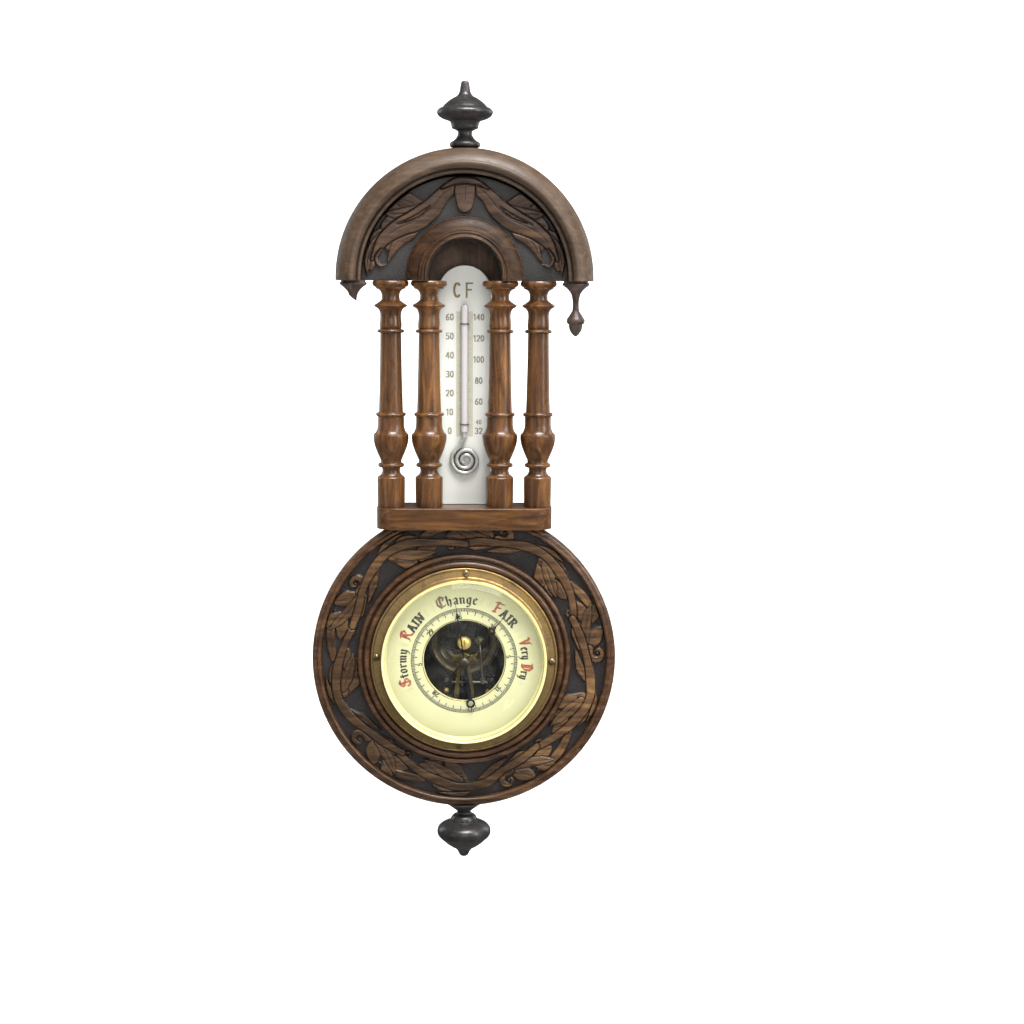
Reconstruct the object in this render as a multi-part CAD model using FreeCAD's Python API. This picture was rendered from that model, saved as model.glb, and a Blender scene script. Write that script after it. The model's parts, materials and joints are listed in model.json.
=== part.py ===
"""Aneroid barometer with a thermometer above it, in a carved and turned wooden wall case.

The case hangs flat on a wall. From the top it has a turned finial, a half-round pediment with a hood
moulding and a niche, four turned columns round an opal thermometer plate, a shelf, and a round case that
holds the aneroid instrument. Every piece is its own closed solid, written to parts/NODE.step.

Lengths are millimetres. The part's frame has +X to the viewer's right, +Y into the wall and +Z up, and its
origin is the centre of the hanging hole on the wall plane. Inside this script a place is given as x, depth
(forward from the wall) and height (above the dial's axis); spot() turns that into the part's frame.
"""

import FreeCAD
import Part
import math
import os

from FreeCAD import Vector

# ---------------------------------------------------------------- driving dimensions
HANGER_HEIGHT = 318.0      # hanging hole above the dial's axis

# round case that holds the instrument
CASE_R = 107.0             # outside radius
CASE_TOP = 93.5            # flat on its top, where the shelf stands
CASE_FACE = 23.0           # depth of the carved band's highest carving
RIM_R = 100.5              # inside of the rim moulding
RING_R = 75.0              # outside of the moulded ring round the bezel
CASE_BORE_R = 59.5         # hole that takes the instrument's drum
BEZEL_SEAT = 27.0          # depth of the seat under the bezel's flange

# shelf and columns
SHELF_TOP = 108.5
SHELF_W = 122.0
SHELF_D = 37.0
SHELF_CORNER_R = 14.0
COLUMN_X = (51.0, 24.6)    # outer and inner columns, either side of the middle
COLUMN_D = 23.0            # depth of the columns' axes
TENON_R = 3.0
TENON_L = 8.0

# pediment
PED_BOTTOM = 265.0
PED_CENTRE = 266.5         # height of the hood's centre
HOOD_R = 88.5
HOOD_IN = 71.0
HOOD_D = 42.0
BOARD_T = 8.0              # backboard thickness
BOARD_R = 86.0
STILE_W = 36.0             # the backboard's tongue behind the thermometer
STILE_FOOT = 70.0
PANEL_FACE = 30.0          # depth of the tympanum's highest carving
NICHE_CENTRE = 268.4
NICHE_R = 25.0
NICHE_OUT = 40.0
DROP_X = 76.5
DROP_D = 26.0
TOP_FINIAL_D = 20.0
BOTTOM_FINIAL_D = 14.0

# thermometer
PLATE_W = 37.0
PLATE_T = 3.5
PLATE_TOP = 275.7
TUBE_R = 2.6
TUBE_TOP = 249.2
TUBE_FOOT = 158.8
BORE_R = 0.7               # mercury thread
COIL_HEIGHT = 139.9
COIL_TUBE_R = 1.6
COIL_OUT = 10.3            # centreline radius where the coil starts
COIL_TURNS = 2.3
ZERO_C, SIXTY_C = 160.5, 240.0
READING_C = 22.0
CLIP_HEIGHTS = (235.3, 165.3)

# instrument, from the wall forward
DRUM_R = 57.2
DRUM_T = 1.0
DRUM_BACK = 1.2
DRUM_FRONT = 29.0
BASE_BACK, BASE_FRONT = 4.0, 7.0
CAPSULE_H = 11.0           # height of the capsule's axis above the dial's
CAPSULE_R = 25.0
CAPSULE_BACK, CAPSULE_MID, CAPSULE_FRONT = 8.5, 12.0, 15.5
SPRING_T = 1.2
SPRING_W = 34.0
SPRING_FACE = 19.0         # depth of the upper leaf's back
SPRING_EDGE = 6.0          # height of the upper leaf's free edge
BEND_HEIGHT = 46.0         # height of the bend's axis
LEVER_X = 12.6
LEVER_D = 22.4
ROCKER_HEIGHT = -19.0
ROCKER_D = 13.0
CRANK_R = 2.0
CHAIN_D = 22.5
PULLEY_R = 1.2
CHAIN_R = 0.3
COCK_BACK, COCK_FRONT = 17.0, 18.2
BRIDGE_BACK, BRIDGE_FRONT = 24.4, 25.2
DIAL_BACK, DIAL_MID, DIAL_FRONT = 27.0, 28.0, 29.0
DIAL_OPENING = 28.5
GLASS_BACK, GLASS_FRONT = 33.0, 35.5
GLASS_R = 57.0
BEZEL_FRONT = 36.6
BEZEL_OUT = 65.8
BEZEL_WALL = 58.6
SIGHT_R = 56.2             # radius that the bezel leaves open
SCREW_CIRCLE = 61.8
HAND_ANGLE = -8.6          # clockwise from the top, as it stands at rest
SET_HAND_ANGLE = 41.6
HAND_BACK, HAND_FRONT = 30.2, 30.7
SET_BACK, SET_FRONT = 31.9, 32.3
SPINDLE_R = 1.5            # set hand's spindle
SLIP = 0.05                # running clearance on a pivot's radius
GAP = 0.1                  # clearance round fitted and hidden pieces


# ---------------------------------------------------------------- helpers
def spot(x, depth, height):
    return Vector(x, -depth, height - HANGER_HEIGHT)


FORWARD = Vector(0, -1, 0)
UP = Vector(0, 0, 1)


def outline_edges(outline, place):
    """Edges through an outline. A plain pair is a corner. ("arc", middle, end) bends through middle, and
    ("curve", ..., end) flows through every pair it lists."""
    first = place(*outline[0])
    here, edges = first, []
    for step in outline[1:]:
        if step[0] == "arc":
            end = place(*step[2])
            edges.append(Part.Arc(here, place(*step[1]), end).toShape())
        elif step[0] == "curve":
            points = [here] + [place(*pair) for pair in step[1:]]
            curve = Part.BSplineCurve()
            curve.interpolate(points)
            end = points[-1]
            edges.append(curve.toShape())
        else:
            end = place(*step)
            edges.append(Part.LineSegment(here, end).toShape())
        here = end
    if here.distanceToPoint(first) > 1e-6:
        edges.append(Part.LineSegment(here, first).toShape())
    return edges


def face_of(outline, place):
    return Part.Face(Part.Wire(outline_edges(outline, place)))


def outward(solid):
    """The solid with its faces the right way out, whichever way round its outline was drawn."""
    return solid.reversed() if solid.Volume < 0 else solid


def turned_upright(outline, x, depth):
    """A turning about an upright axis. The outline is closed and holds (radius, height) pairs."""
    face = face_of(outline, lambda radius, height: spot(x + radius, depth, height))
    return outward(face.revolve(spot(x, depth, 0), UP, 360))


def turned_facing(outline, x=0.0, height=0.0):
    """A turning about an axis that faces the viewer. The outline holds (radius, depth) pairs."""
    face = face_of(outline, lambda radius, depth: spot(x + radius, depth, height))
    return outward(face.revolve(spot(x, 0, height), FORWARD, 360))


def slab(outline, back, front):
    """A flat piece parallel to the wall. The outline holds (x, height) pairs."""
    face = face_of(outline, lambda x, height: spot(x, back, height))
    return outward(face.extrude(FORWARD * (front - back)))


def disc(radius, back, front, x=0.0, height=0.0):
    return Part.makeCylinder(radius, front - back, spot(x, back, height), FORWARD)


def ring(outer, inner, back, front, x=0.0, height=0.0):
    return disc(outer, back, front, x, height).cut(disc(inner, back - 1, front + 1, x, height))


def block(x0, x1, back, front, low, high):
    return Part.makeBox(x1 - x0, front - back, high - low, spot(x0, front, low))


def rod(start, end, radius):
    a, b = spot(*start), spot(*end)
    return Part.makeCylinder(radius, a.distanceToPoint(b), a, b.sub(a))


def ball(x, depth, height, radius):
    return Part.makeSphere(radius, spot(x, depth, height))


def swept(points, radius):
    """A round bar along the smooth curve through the points, which hold x, depth and height."""
    curve = Part.BSplineCurve()
    curve.interpolate([spot(*p) for p in points])
    path = Part.Wire(curve.toShape())
    start = curve.value(curve.FirstParameter)
    tangent = curve.tangent(curve.FirstParameter)[0]
    section = Part.Wire(Part.Circle(start, tangent, radius).toShape())
    return path.makePipeShell([section], True, True)


def screw(x, height, head, tip, head_r, shank_r, slot_turn=0.0):
    """A slotted raised-head screw: its head's underside is at depth head and its point at depth tip."""
    forward = 1 if head > tip else -1
    crown = head + forward * head_r * 0.42
    profile = [(0, tip), (shank_r * 0.35, tip), (shank_r, tip + forward * 2.2), (shank_r, head),
               (head_r, head), (head_r, head + forward * head_r * 0.12),
               ("arc", (head_r * 0.68, head + forward * head_r * 0.34), (0, crown))]
    body = turned_facing(profile, x, height)
    low, high = sorted((crown - forward * head_r * 0.24, crown + forward * 1.0))
    slot = block(-head_r * 1.2, head_r * 1.2, low, high, -head_r * 0.13, head_r * 0.13)
    slot.translate(Vector(x, 0, height))
    slot.rotate(spot(x, 0, height), FORWARD, slot_turn)
    return body.cut(slot)


def screw_hole(x, height, head, tip, shank_r):
    low, high = sorted((head, tip))
    return disc(shank_r + 0.02, low - 0.1, high + 0.1, x, height)


def fused(pieces):
    first, *rest = pieces
    return first.multiFuse(rest).removeSplitter() if rest else first


def polar(radius, clockwise_deg):
    """x and height of a point at a clock angle round the dial's axis."""
    a = math.radians(clockwise_deg)
    return radius * math.sin(a), radius * math.cos(a)


def mirrored_x(shape):
    return shape.mirror(spot(0, 0, 0), Vector(1, 0, 0))


# ---------------------------------------------------------------- wooden case
def hanging_screws_at():
    return [(-11.0, HANGER_HEIGHT), (11.0, HANGER_HEIGHT)]


def case_screws_at():
    return [(-9.0, 80.0), (9.0, 80.0)]


def backboard():
    """Half-round board behind the pediment, with a tongue that runs down behind the shelf into the case."""
    half = STILE_W / 2
    side = math.sqrt(BOARD_R ** 2 - (PED_CENTRE - PED_BOTTOM) ** 2)
    board = slab([(-half, STILE_FOOT), (half, STILE_FOOT), (half, PED_BOTTOM), (side, PED_BOTTOM),
                  ("arc", (0, PED_CENTRE + BOARD_R), (-side, PED_BOTTOM)), (-half, PED_BOTTOM)],
                 0, BOARD_T)
    nail_pocket = disc(7.5, -1, BOARD_T - 1.5, 0, HANGER_HEIGHT)
    half_w, half_h = 16 + GAP, 6 + GAP
    plate_seat = block(-half_w, half_w, -1, 1.5, HANGER_HEIGHT - half_h, HANGER_HEIGHT + half_h)
    board = board.cut(nail_pocket).cut(plate_seat)
    for x, height in hanging_screws_at():
        board = board.cut(screw_hole(x, height, 1.5, 7.0, 1.2))
    for x, height in case_screws_at():
        board = board.cut(disc(3.6, -1, 2.0, x, height)).cut(screw_hole(x, height, 2.0, 16.0, 1.6))
    return board


def above_pediment_foot(shape):
    return shape.common(block(-200, 200, -1, 100, PED_BOTTOM, 420))


def tympanum_panel():
    """Panel whose face carries the carving, with the niche cut through it to the backboard."""
    panel = above_pediment_foot(disc(HOOD_IN - GAP, BOARD_T, PANEL_FACE, 0, PED_CENTRE))
    panel = panel.cut(disc(NICHE_R, 0, PANEL_FACE + 1, 0, NICHE_CENTRE))
    panel = panel.cut(block(-NICHE_R, NICHE_R, 0, PANEL_FACE + 1, PED_BOTTOM - 1, NICHE_CENTRE))
    for x in (-COLUMN_X[0], COLUMN_X[0]):
        start, end = PED_BOTTOM - 1, PED_BOTTOM + TENON_L + GAP
        panel = panel.cut(rod((x, COLUMN_D, start), (x, COLUMN_D, end), TENON_R + GAP))
    return panel


def hood_moulding():
    """Half ring over the tympanum: a broad outward curve, a quirk and an inner bead."""
    profile = [(HOOD_IN, BOARD_T), (HOOD_IN, 34.5), ("arc", (72.0, 36.6), (73.4, 36.2)), (73.4, 35.4),
               (74.4, 35.4), (74.4, 39.6), (75.4, HOOD_D - 1.2), ("arc", (77.2, HOOD_D), (79.4, 40.9)),
               ("arc", (86.2, 34.6), (HOOD_R, 24.0)), (HOOD_R, BOARD_T + 2), (87.3, BOARD_T)]
    hood = above_pediment_foot(turned_facing(profile, 0, PED_CENTRE))
    top = PED_CENTRE + HOOD_R
    hood = hood.cut(rod((0, TOP_FINIAL_D, top - 10), (0, TOP_FINIAL_D, top + 1), TENON_R + GAP))
    hood = hood.cut(rod((0, TOP_FINIAL_D, top - 0.6), (0, TOP_FINIAL_D, top + 1), 6.7))
    for x in (-DROP_X, DROP_X):
        hood = hood.cut(rod((x, DROP_D, PED_BOTTOM - 1), (x, DROP_D, PED_BOTTOM + 7), TENON_R - 1 + GAP))
    return hood


def niche_moulding():
    """Arch round the niche: an outer hollow, two beads and a rounded inner edge."""
    profile = [(NICHE_R, PANEL_FACE), (NICHE_R, 36.4), ("arc", (25.5, 37.5), (26.6, 38.0)), (28.4, 36.8),
               ("arc", (29.3, 37.4), (30.2, 36.6)), ("arc", (31.2, 36.7), (31.9, 35.8)), (32.6, 35.2),
               ("arc", (37.0, 33.2), (39.3, 31.2)), (NICHE_OUT, PANEL_FACE)]
    section = face_of(profile, lambda radius, depth: spot(radius, depth, NICHE_CENTRE))
    arch = outward(section.revolve(spot(0, 0, NICHE_CENTRE), FORWARD, 180))
    jamb = outward(section.extrude(UP * (PED_BOTTOM - NICHE_CENTRE)))
    return fused([arch, jamb, mirrored_x(jamb)])


def top_finial():
    foot = PED_CENTRE + HOOD_R - 0.6
    profile = [(0, foot - TENON_L), (TENON_R, foot - TENON_L), (TENON_R, foot), (6.4, foot), (6.6, 355.2),
               (7.6, 355.4), ("arc", (10.5, 357.4), (8.5, 359.5)),
               ("curve", (6.4, 361.4), (5.2, 363.4), (5.05, 366.4)),
               ("curve", (6.6, 367.3), (8.9, 368.2)), (9.2, 368.9), ("curve", (9.5, 371.0), (10.4, 373.1)),
               ("curve", (14.6, 374.5), (18.0, 376.6), (19.2, 379.1), (17.6, 381.5), (16.0, 382.3)),
               (15.4, 382.5), ("curve", (13.9, 384.3), (11.0, 386.8), (7.2, 389.2)),
               ("curve", (4.7, 391.0), (3.5, 394.4), (2.9, 398.0)),
               ("arc", (2.1, 399.7), (0.6, 400.2)), (0, 400.2)]
    return turned_upright(profile, 0, TOP_FINIAL_D)


def bottom_finial():
    """Pendant finial under the round case, planed flat at the back so that the case hangs close."""
    foot = -math.sqrt(CASE_R ** 2 - 11.6 ** 2)
    profile = [(0, -CASE_R + TENON_L), (TENON_R, -CASE_R + TENON_L), (TENON_R, foot), (11.6, foot),
               (11.6, -107.6), ("curve", (8.4, -109.9), (5.3, -112.3)),
               ("arc", (4.9, -113.5), (5.6, -114.7)),
               ("curve", (8.4, -116.4), (9.6, -119.6)), (10.3, -120.0),
               ("curve", (14.8, -121.6), (18.4, -124.6), (19.2, -127.6), (17.6, -131.6)),
               ("curve", (14.4, -134.6), (10.6, -137.7), (6.2, -140.2)),
               ("curve", (4.6, -142.2), (3.2, -145.0)),
               ("arc", (2.0, -146.0), (0.6, -146.4)), (0, -146.4)]
    finial = turned_upright(profile, 0, BOTTOM_FINIAL_D)
    return finial.cut(block(-30, 30, -20, 0, -150, -90))


def drop_collar():
    """The stub tenon, collar and hollow that both drops start with."""
    return [(0, PED_BOTTOM + 6), (TENON_R - 1, PED_BOTTOM + 6), (TENON_R - 1, PED_BOTTOM), (8.4, PED_BOTTOM),
            (8.4, 264.0), ("arc", (9.3, 263.0), (8.6, 261.8)), ("curve", (5.6, 259.4), (3.4, 256.6))]


def drop_right():
    profile = drop_collar() + [
        ("curve", (2.5, 253.4), (2.1, 248.8), (2.4, 244.8)), ("curve", (4.0, 242.2), (5.7, 239.6)),
        ("arc", (6.3, 237.7), (5.5, 235.9)), (4.7, 235.5),
        ("curve", (4.5, 233.0), (3.2, 230.0), (1.5, 228.0)), 
        ("arc", (1.0, 227.5), (0.5, 227.2)), (0, 227.2)]
    return turned_upright(profile, DROP_X, DROP_D)


def drop_left():
    """The same turning, snapped off below its hollow, with a slanting break."""
    profile = drop_collar() + [(2.7, 254.4), (2.3, 251.4), (0, 251.4)]
    stub = turned_upright(profile, -DROP_X, DROP_D)
    break_face = block(-6, 6, 10, 40, 247.0, 252.6)
    break_face.translate(Vector(-DROP_X, 0, 0))
    break_face.rotate(spot(-DROP_X, DROP_D, 252.6), Vector(0, 1, 0), 38)
    return stub.cut(break_face)


def column(x, top_tenon):
    """A turned column from the shelf to the pediment: block, neck ring, urn, shaft with rings, capital."""
    foot, cap = SHELF_TOP, PED_BOTTOM
    ring_foot, ring_shaft, ring_top = foot + 29.0, foot + 64.4, foot + 121.9
    profile = [(0, foot - TENON_L), (TENON_R, foot - TENON_L), (TENON_R, foot), (9.4, foot),
               (9.6, foot + 20.4), (9.1, foot + 21.0), (7.4, foot + 22.2),
               ("arc", (6.2, foot + 24.8), (6.6, foot + 27.6)), (7.4, foot + 27.8),
               ("arc", (9.1, ring_foot), (7.4, foot + 30.4)), (7.2, foot + 31.0),
               (7.2, foot + 32.6), ("curve", (9.4, foot + 37.6), (11.6, foot + 44.0), (12.15, foot + 49.8)),
               (11.9, foot + 50.6), ("curve", (9.9, foot + 53.2), (9.1, foot + 57.0), (9.0, foot + 62.8)),
               (9.3, foot + 63.2), ("arc", (10.4, ring_shaft), (9.0, foot + 65.6)), (8.35, foot + 66.0),
               ("curve", (7.9, foot + 80.0), (7.5, foot + 98.0), (7.2, foot + 120.6)), (7.9, foot + 120.8),
               ("arc", (9.3, ring_top), (7.9, foot + 123.0)), (7.2, foot + 123.4),
               ("curve", (7.2, foot + 133.6), (7.9, foot + 136.2), (10.6, foot + 138.4)),
               (11.3, foot + 139.2), (11.3, foot + 139.9),
               ("curve", (8.7, foot + 141.4), (6.4, foot + 143.2)),
               ("curve", (6.15, foot + 145.6), (6.5, foot + 148.2), (9.6, foot + 150.9)),
               (10.3, foot + 151.2), (10.3, foot + 152.0), (11.2, foot + 152.4),
               ("arc", (12.5, cap - 2.0), (11.6, cap))]
    if top_tenon:
        profile += [(TENON_R, cap), (TENON_R, cap + TENON_L), (0, cap + TENON_L)]
    else:
        profile += [(0, cap)]
    return turned_upright(profile, x, COLUMN_D)


def shelf():
    """Bow-cornered shelf that carries the columns and the thermometer plate, notched for the backboard."""
    half, r, bow = SHELF_W / 2, SHELF_CORNER_R, SHELF_CORNER_R * 0.293
    plan = [(-half, 0), (-half, SHELF_D - r), ("arc", (-half + bow, SHELF_D - bow), (-half + r, SHELF_D)),
            (half - r, SHELF_D), ("arc", (half - bow, SHELF_D - bow), (half, SHELF_D - r)), (half, 0)]
    face = face_of(plan, lambda x, depth: spot(x, depth, CASE_TOP))
    board = face.extrude(UP * (SHELF_TOP - CASE_TOP))
    lip = [e for e in board.Edges if abs(e.BoundBox.ZMin - (SHELF_TOP - HANGER_HEIGHT)) < 1e-3
           and abs(e.BoundBox.ZLength) < 1e-3 and e.BoundBox.YMin < -0.5]
    board = board.makeFillet(0.8, lip)
    notch = STILE_W / 2 + GAP
    board = board.cut(block(-notch, notch, -1, BOARD_T + GAP, CASE_TOP - 1, SHELF_TOP + 1))
    for x in (-COLUMN_X[0], -COLUMN_X[1], COLUMN_X[1], COLUMN_X[0]):
        mortise = rod((x, COLUMN_D, SHELF_TOP - TENON_L - GAP), (x, COLUMN_D, SHELF_TOP + 1), TENON_R + GAP)
        board = board.cut(mortise)
    return board


def bezel_screws_at():
    return [polar(SCREW_CIRCLE, a) for a in (1.0, 91.0, 183.0, 272.0)]


def round_case():
    """Turned disc with a rim moulding, a band for carving and a moulded ring round the instrument's seat."""
    profile = [(CASE_BORE_R, 0), (CASE_BORE_R, BEZEL_SEAT), (66.4, BEZEL_SEAT), (66.4, 27.8),
               ("arc", (68.2, 29.4), (70.2, 27.4)), (70.4, 25.4), (71.0, 25.2),
               ("arc", (73.2, 26.9), (RING_R, 24.2)), (RING_R, CASE_FACE), (RIM_R, CASE_FACE),
               (RIM_R + 0.2, 23.4), ("arc", (102.0, 25.0), (103.4, 23.8)), (103.7, 23.4),
               ("arc", (105.9, 22.8), (CASE_R, 20.0)), (CASE_R, 14.0), (CASE_R - 0.8, 13.4),
               ("arc", (CASE_R - 3.2, 11.6), (CASE_R - 4.0, 8.0)), (CASE_R - 4.0, 2.0), (CASE_R - 6.0, 0)]
    case = turned_facing(profile)
    case = case.cut(block(-120, 120, -1, 60, CASE_TOP, 120))
    half = STILE_W / 2 + GAP
    case = case.cut(block(-half, half, -1, BOARD_T + GAP, STILE_FOOT - GAP, CASE_TOP + 1))
    case = case.cut(rod((0, BOTTOM_FINIAL_D, -CASE_R - 1), (0, BOTTOM_FINIAL_D, -CASE_R + TENON_L + GAP),
                        TENON_R + GAP))
    foot = -math.sqrt(CASE_R ** 2 - 11.6 ** 2)
    case = case.cut(rod((0, BOTTOM_FINIAL_D, -CASE_R - 1), (0, BOTTOM_FINIAL_D, foot), 11.6 + GAP))
    for x, height in bezel_screws_at():
        case = case.cut(screw_hole(x, height, BEZEL_SEAT, 15.0, 1.3))
    for x, height in case_screws_at():
        case = case.cut(screw_hole(x, height, 8.0, 16.0, 1.6))
    return case


def case_screws():
    return Part.makeCompound([screw(x, h, 2.0, 16.0, 3.4, 1.6, 25 + x) for x, h in case_screws_at()])


def hanging_plate():
    """Brass plate let into the board's back; a wall nail's head passes its hole."""
    plate = slab([(-10, HANGER_HEIGHT - 6), (10, HANGER_HEIGHT - 6),
                  ("arc", (16, HANGER_HEIGHT), (10, HANGER_HEIGHT + 6)), (-10, HANGER_HEIGHT + 6),
                  ("arc", (-16, HANGER_HEIGHT), (-10, HANGER_HEIGHT - 6))], 0, 1.5)
    plate = plate.cut(disc(3.5, -1, 3, 0, HANGER_HEIGHT))
    for x, height in hanging_screws_at():
        plate = plate.cut(disc(1.22, -1, 3, x, height)).cut(disc(2.3, -1, 1.0, x, height))
    return plate


def hanging_screws():
    return Part.makeCompound([screw(x, h, 1.0, 7.0, 2.2, 1.2, 40 * x) for x, h in hanging_screws_at()])


# ---------------------------------------------------------------- thermometer
def scale_plate():
    """Opal glass plate with a round head, which stands on the shelf against the backboard."""
    half = PLATE_W / 2
    outline = [(-half, SHELF_TOP), (half, SHELF_TOP), (half, PLATE_TOP - half),
               ("arc", (0, PLATE_TOP), (-half, PLATE_TOP - half))]
    plate = slab(outline, BOARD_T, BOARD_T + PLATE_T)
    front = [e for e in plate.Edges if abs(e.BoundBox.YMin + BOARD_T + PLATE_T) < 1e-3
             and e.BoundBox.YLength < 1e-3]
    plate = plate.makeFillet(0.6, front)
    for height in CLIP_HEIGHTS:
        for x in (-TUBE_R - 0.35, TUBE_R + 0.35):
            plate = plate.cut(disc(0.45, BOARD_T - 1, 20, x, height))
    return plate


TUBE_D = BOARD_T + PLATE_T + TUBE_R
COIL_D = BOARD_T + PLATE_T + COIL_TUBE_R + 0.1


def coil_path():
    """Down from the tube's foot, then round an even spiral to the middle of the coil."""
    pitch = 2 * COIL_TUBE_R + 0.25
    points = [(0, TUBE_D, TUBE_FOOT + 4), (0, TUBE_D, TUBE_FOOT), (-0.2, COIL_D + 0.5, TUBE_FOOT - 3.2),
              (-1.8, COIL_D + 0.1, TUBE_FOOT - 6.4)]
    steps = 26
    for i in range(steps + 1):
        share = i / steps
        angle = math.radians(118) + share * COIL_TURNS * 2 * math.pi
        radius = COIL_OUT - pitch * COIL_TURNS * share
        points.append((0.8 + radius * math.cos(angle), COIL_D, COIL_HEIGHT + radius * math.sin(angle)))
    return points


def tube_body(grow=0.0):
    stem = rod((0, TUBE_D, TUBE_FOOT + 1.4), (0, TUBE_D, TUBE_TOP - TUBE_R), TUBE_R + grow)
    shoulder = rod((0, TUBE_D, TUBE_FOOT), (0, TUBE_D, TUBE_FOOT + 1.5), COIL_TUBE_R + 0.3 + grow)
    coil = swept(coil_path(), COIL_TUBE_R + grow)
    end = coil_path()[-1]
    cap = ball(0, TUBE_D, TUBE_TOP - TUBE_R, TUBE_R + grow)
    return fused([stem, cap, shoulder, coil, ball(*end, COIL_TUBE_R + grow)])


def mercury_body():
    level = ZERO_C + (SIXTY_C - ZERO_C) * READING_C / 60
    thread = rod((0, TUBE_D, TUBE_FOOT + 3), (0, TUBE_D, level), BORE_R)
    coil = swept(coil_path(), COIL_TUBE_R - 0.45)
    end = coil_path()[-1]
    return fused([thread, coil, ball(*end, COIL_TUBE_R - 0.45)])


def thermometer_tube():
    """Glass stem and flat spiral bulb in one piece, hollow where the mercury stands."""
    empty_bore = rod((0, TUBE_D, TUBE_FOOT + 3), (0, TUBE_D, TUBE_TOP - 6), BORE_R)
    return tube_body().cut(mercury_body()).cut(empty_bore)


def tube_clips():
    """Two copper wire staples that hold the stem to the plate."""
    clips = []
    for height in CLIP_HEIGHTS:
        reach = TUBE_R + 0.35
        path = [(-reach, BOARD_T + 0.3, height), (-reach, TUBE_D - 0.6, height),
                (-reach * 0.75, TUBE_D + 1.9, height), (0, TUBE_D + reach, height),
                (reach * 0.75, TUBE_D + 1.9, height), (reach, TUBE_D - 0.6, height),
                (reach, BOARD_T + 0.3, height)]
        clips.append(swept(path, 0.32).cut(tube_body(0.02)))
    return Part.makeCompound(clips)


# ---------------------------------------------------------------- instrument case
def drum():
    """Brass drum round the movement, open at the front."""
    return ring(DRUM_R, DRUM_R - DRUM_T, DRUM_BACK + 1.0, DRUM_FRONT)


def back_cover():
    """Brass back under the drum, with a hole that leads a screwdriver to the adjusting screw."""
    cover = disc(DRUM_R, DRUM_BACK, DRUM_BACK + 1.0)
    cover = cover.cut(disc(4.0, -1, 3, 0, CAPSULE_H))
    for angle in (60, 180, 300):
        x, height = polar(48, angle)
        cover = cover.cut(disc(1.3, -1, 3, x, height))
    return cover


def pillars_at():
    return [polar(48, a) for a in (60, 180, 300)]


def back_screws():
    return Part.makeCompound([screw(x, h, DRUM_BACK, BASE_BACK, 2.2, 1.2, 30 * i)
                              for i, (x, h) in enumerate(pillars_at())])


def rivets_at():
    return [(-12.6, -26.0), (16.8, -27.0)]


def base_plate():
    """Thick plate that carries the whole movement."""
    plate = disc(DRUM_R - DRUM_T - GAP, BASE_BACK, BASE_FRONT)
    plate = plate.cut(disc(3.0, 0, 9, 0, CAPSULE_H))
    for x, height in spring_screws_at() + cock_screws_at() + rivets_at():
        plate = plate.cut(disc(1.22, 0, 9, x, height))
    return plate


def base_rivets():
    return Part.makeCompound([fused([disc(1.2, BASE_BACK, BASE_FRONT, x, h),
                                     ball(x, BASE_FRONT, h, 1.9).common(disc(2.5, BASE_FRONT, 12, x, h))])
                              for x, h in rivets_at()])


def dial_pillars():
    """Three posts that hold the dial above the base plate."""
    return Part.makeCompound([fused([disc(2.6, BASE_FRONT, BASE_FRONT + 2, x, h),
                                     disc(1.8, BASE_FRONT + 2, DIAL_BACK, x, h)]) for x, h in pillars_at()])


def dial_plate():
    return ring(DRUM_R - DRUM_T - GAP, DIAL_OPENING, DIAL_BACK, DIAL_MID)


def dial_face():
    """Enamelled dial, open in the middle, with a soft edge at the opening."""
    outer = DRUM_R - DRUM_T - GAP
    return turned_facing([(DIAL_OPENING + 0.5, DIAL_MID), (DIAL_OPENING + 0.5, DIAL_FRONT - 0.4),
                          ("arc", (DIAL_OPENING + 0.65, DIAL_FRONT - 0.1), (DIAL_OPENING + 1.0, DIAL_FRONT)),
                          (outer, DIAL_FRONT), (outer, DIAL_MID)])


def sight_ring():
    """Polished cone between the dial and the glass."""
    return turned_facing([(54.8, DIAL_FRONT), (55.2, DIAL_FRONT), (GLASS_R - 0.1, GLASS_BACK - 0.4),
                          (GLASS_R - 0.1, GLASS_BACK), (56.4, GLASS_BACK), (54.8, DIAL_FRONT + 0.4)])


def dial_glass():
    """Bevelled plate glass, bored for the set hand's spindle."""
    bore = SPINDLE_R + 0.08
    return turned_facing([(bore, GLASS_BACK), (GLASS_R, GLASS_BACK), (GLASS_R, GLASS_BACK + 1.1),
                          (GLASS_R - 4.5, GLASS_FRONT), (bore, GLASS_FRONT)])


def bezel():
    """Spun brass bezel: a screwed flange, a standing wall over the drum and a lip over the glass."""
    profile = [(DRUM_R + GAP, BEZEL_SEAT), (BEZEL_OUT, BEZEL_SEAT), (BEZEL_OUT, 27.9),
               ("arc", (BEZEL_OUT - 0.9, 28.9), (BEZEL_OUT - 1.8, 28.3)), (BEZEL_OUT - 2.0, 28.1),
               (BEZEL_WALL + 0.8, 28.5), ("arc", (BEZEL_WALL + 0.2, 28.8), (BEZEL_WALL, 29.6)),
               (BEZEL_WALL, BEZEL_FRONT - 1.0),
               ("arc", (BEZEL_WALL - 0.3, BEZEL_FRONT - 0.3), (BEZEL_WALL - 1.0, BEZEL_FRONT)),
               (SIGHT_R, GLASS_FRONT + 0.4), (SIGHT_R, 34.9), (DRUM_R + GAP, 34.7)]
    body = turned_facing(profile)
    for x, height in bezel_screws_at():
        body = body.cut(screw_hole(x, height, 26.0, 30.0, 1.3))
    return body


def bezel_screws():
    turns = (20, 130, 60, 105)
    return Part.makeCompound([screw(x, h, 28.55, 15.2, 2.3, 1.3, turn)
                              for (x, h), turn in zip(bezel_screws_at(), turns)])


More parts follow.
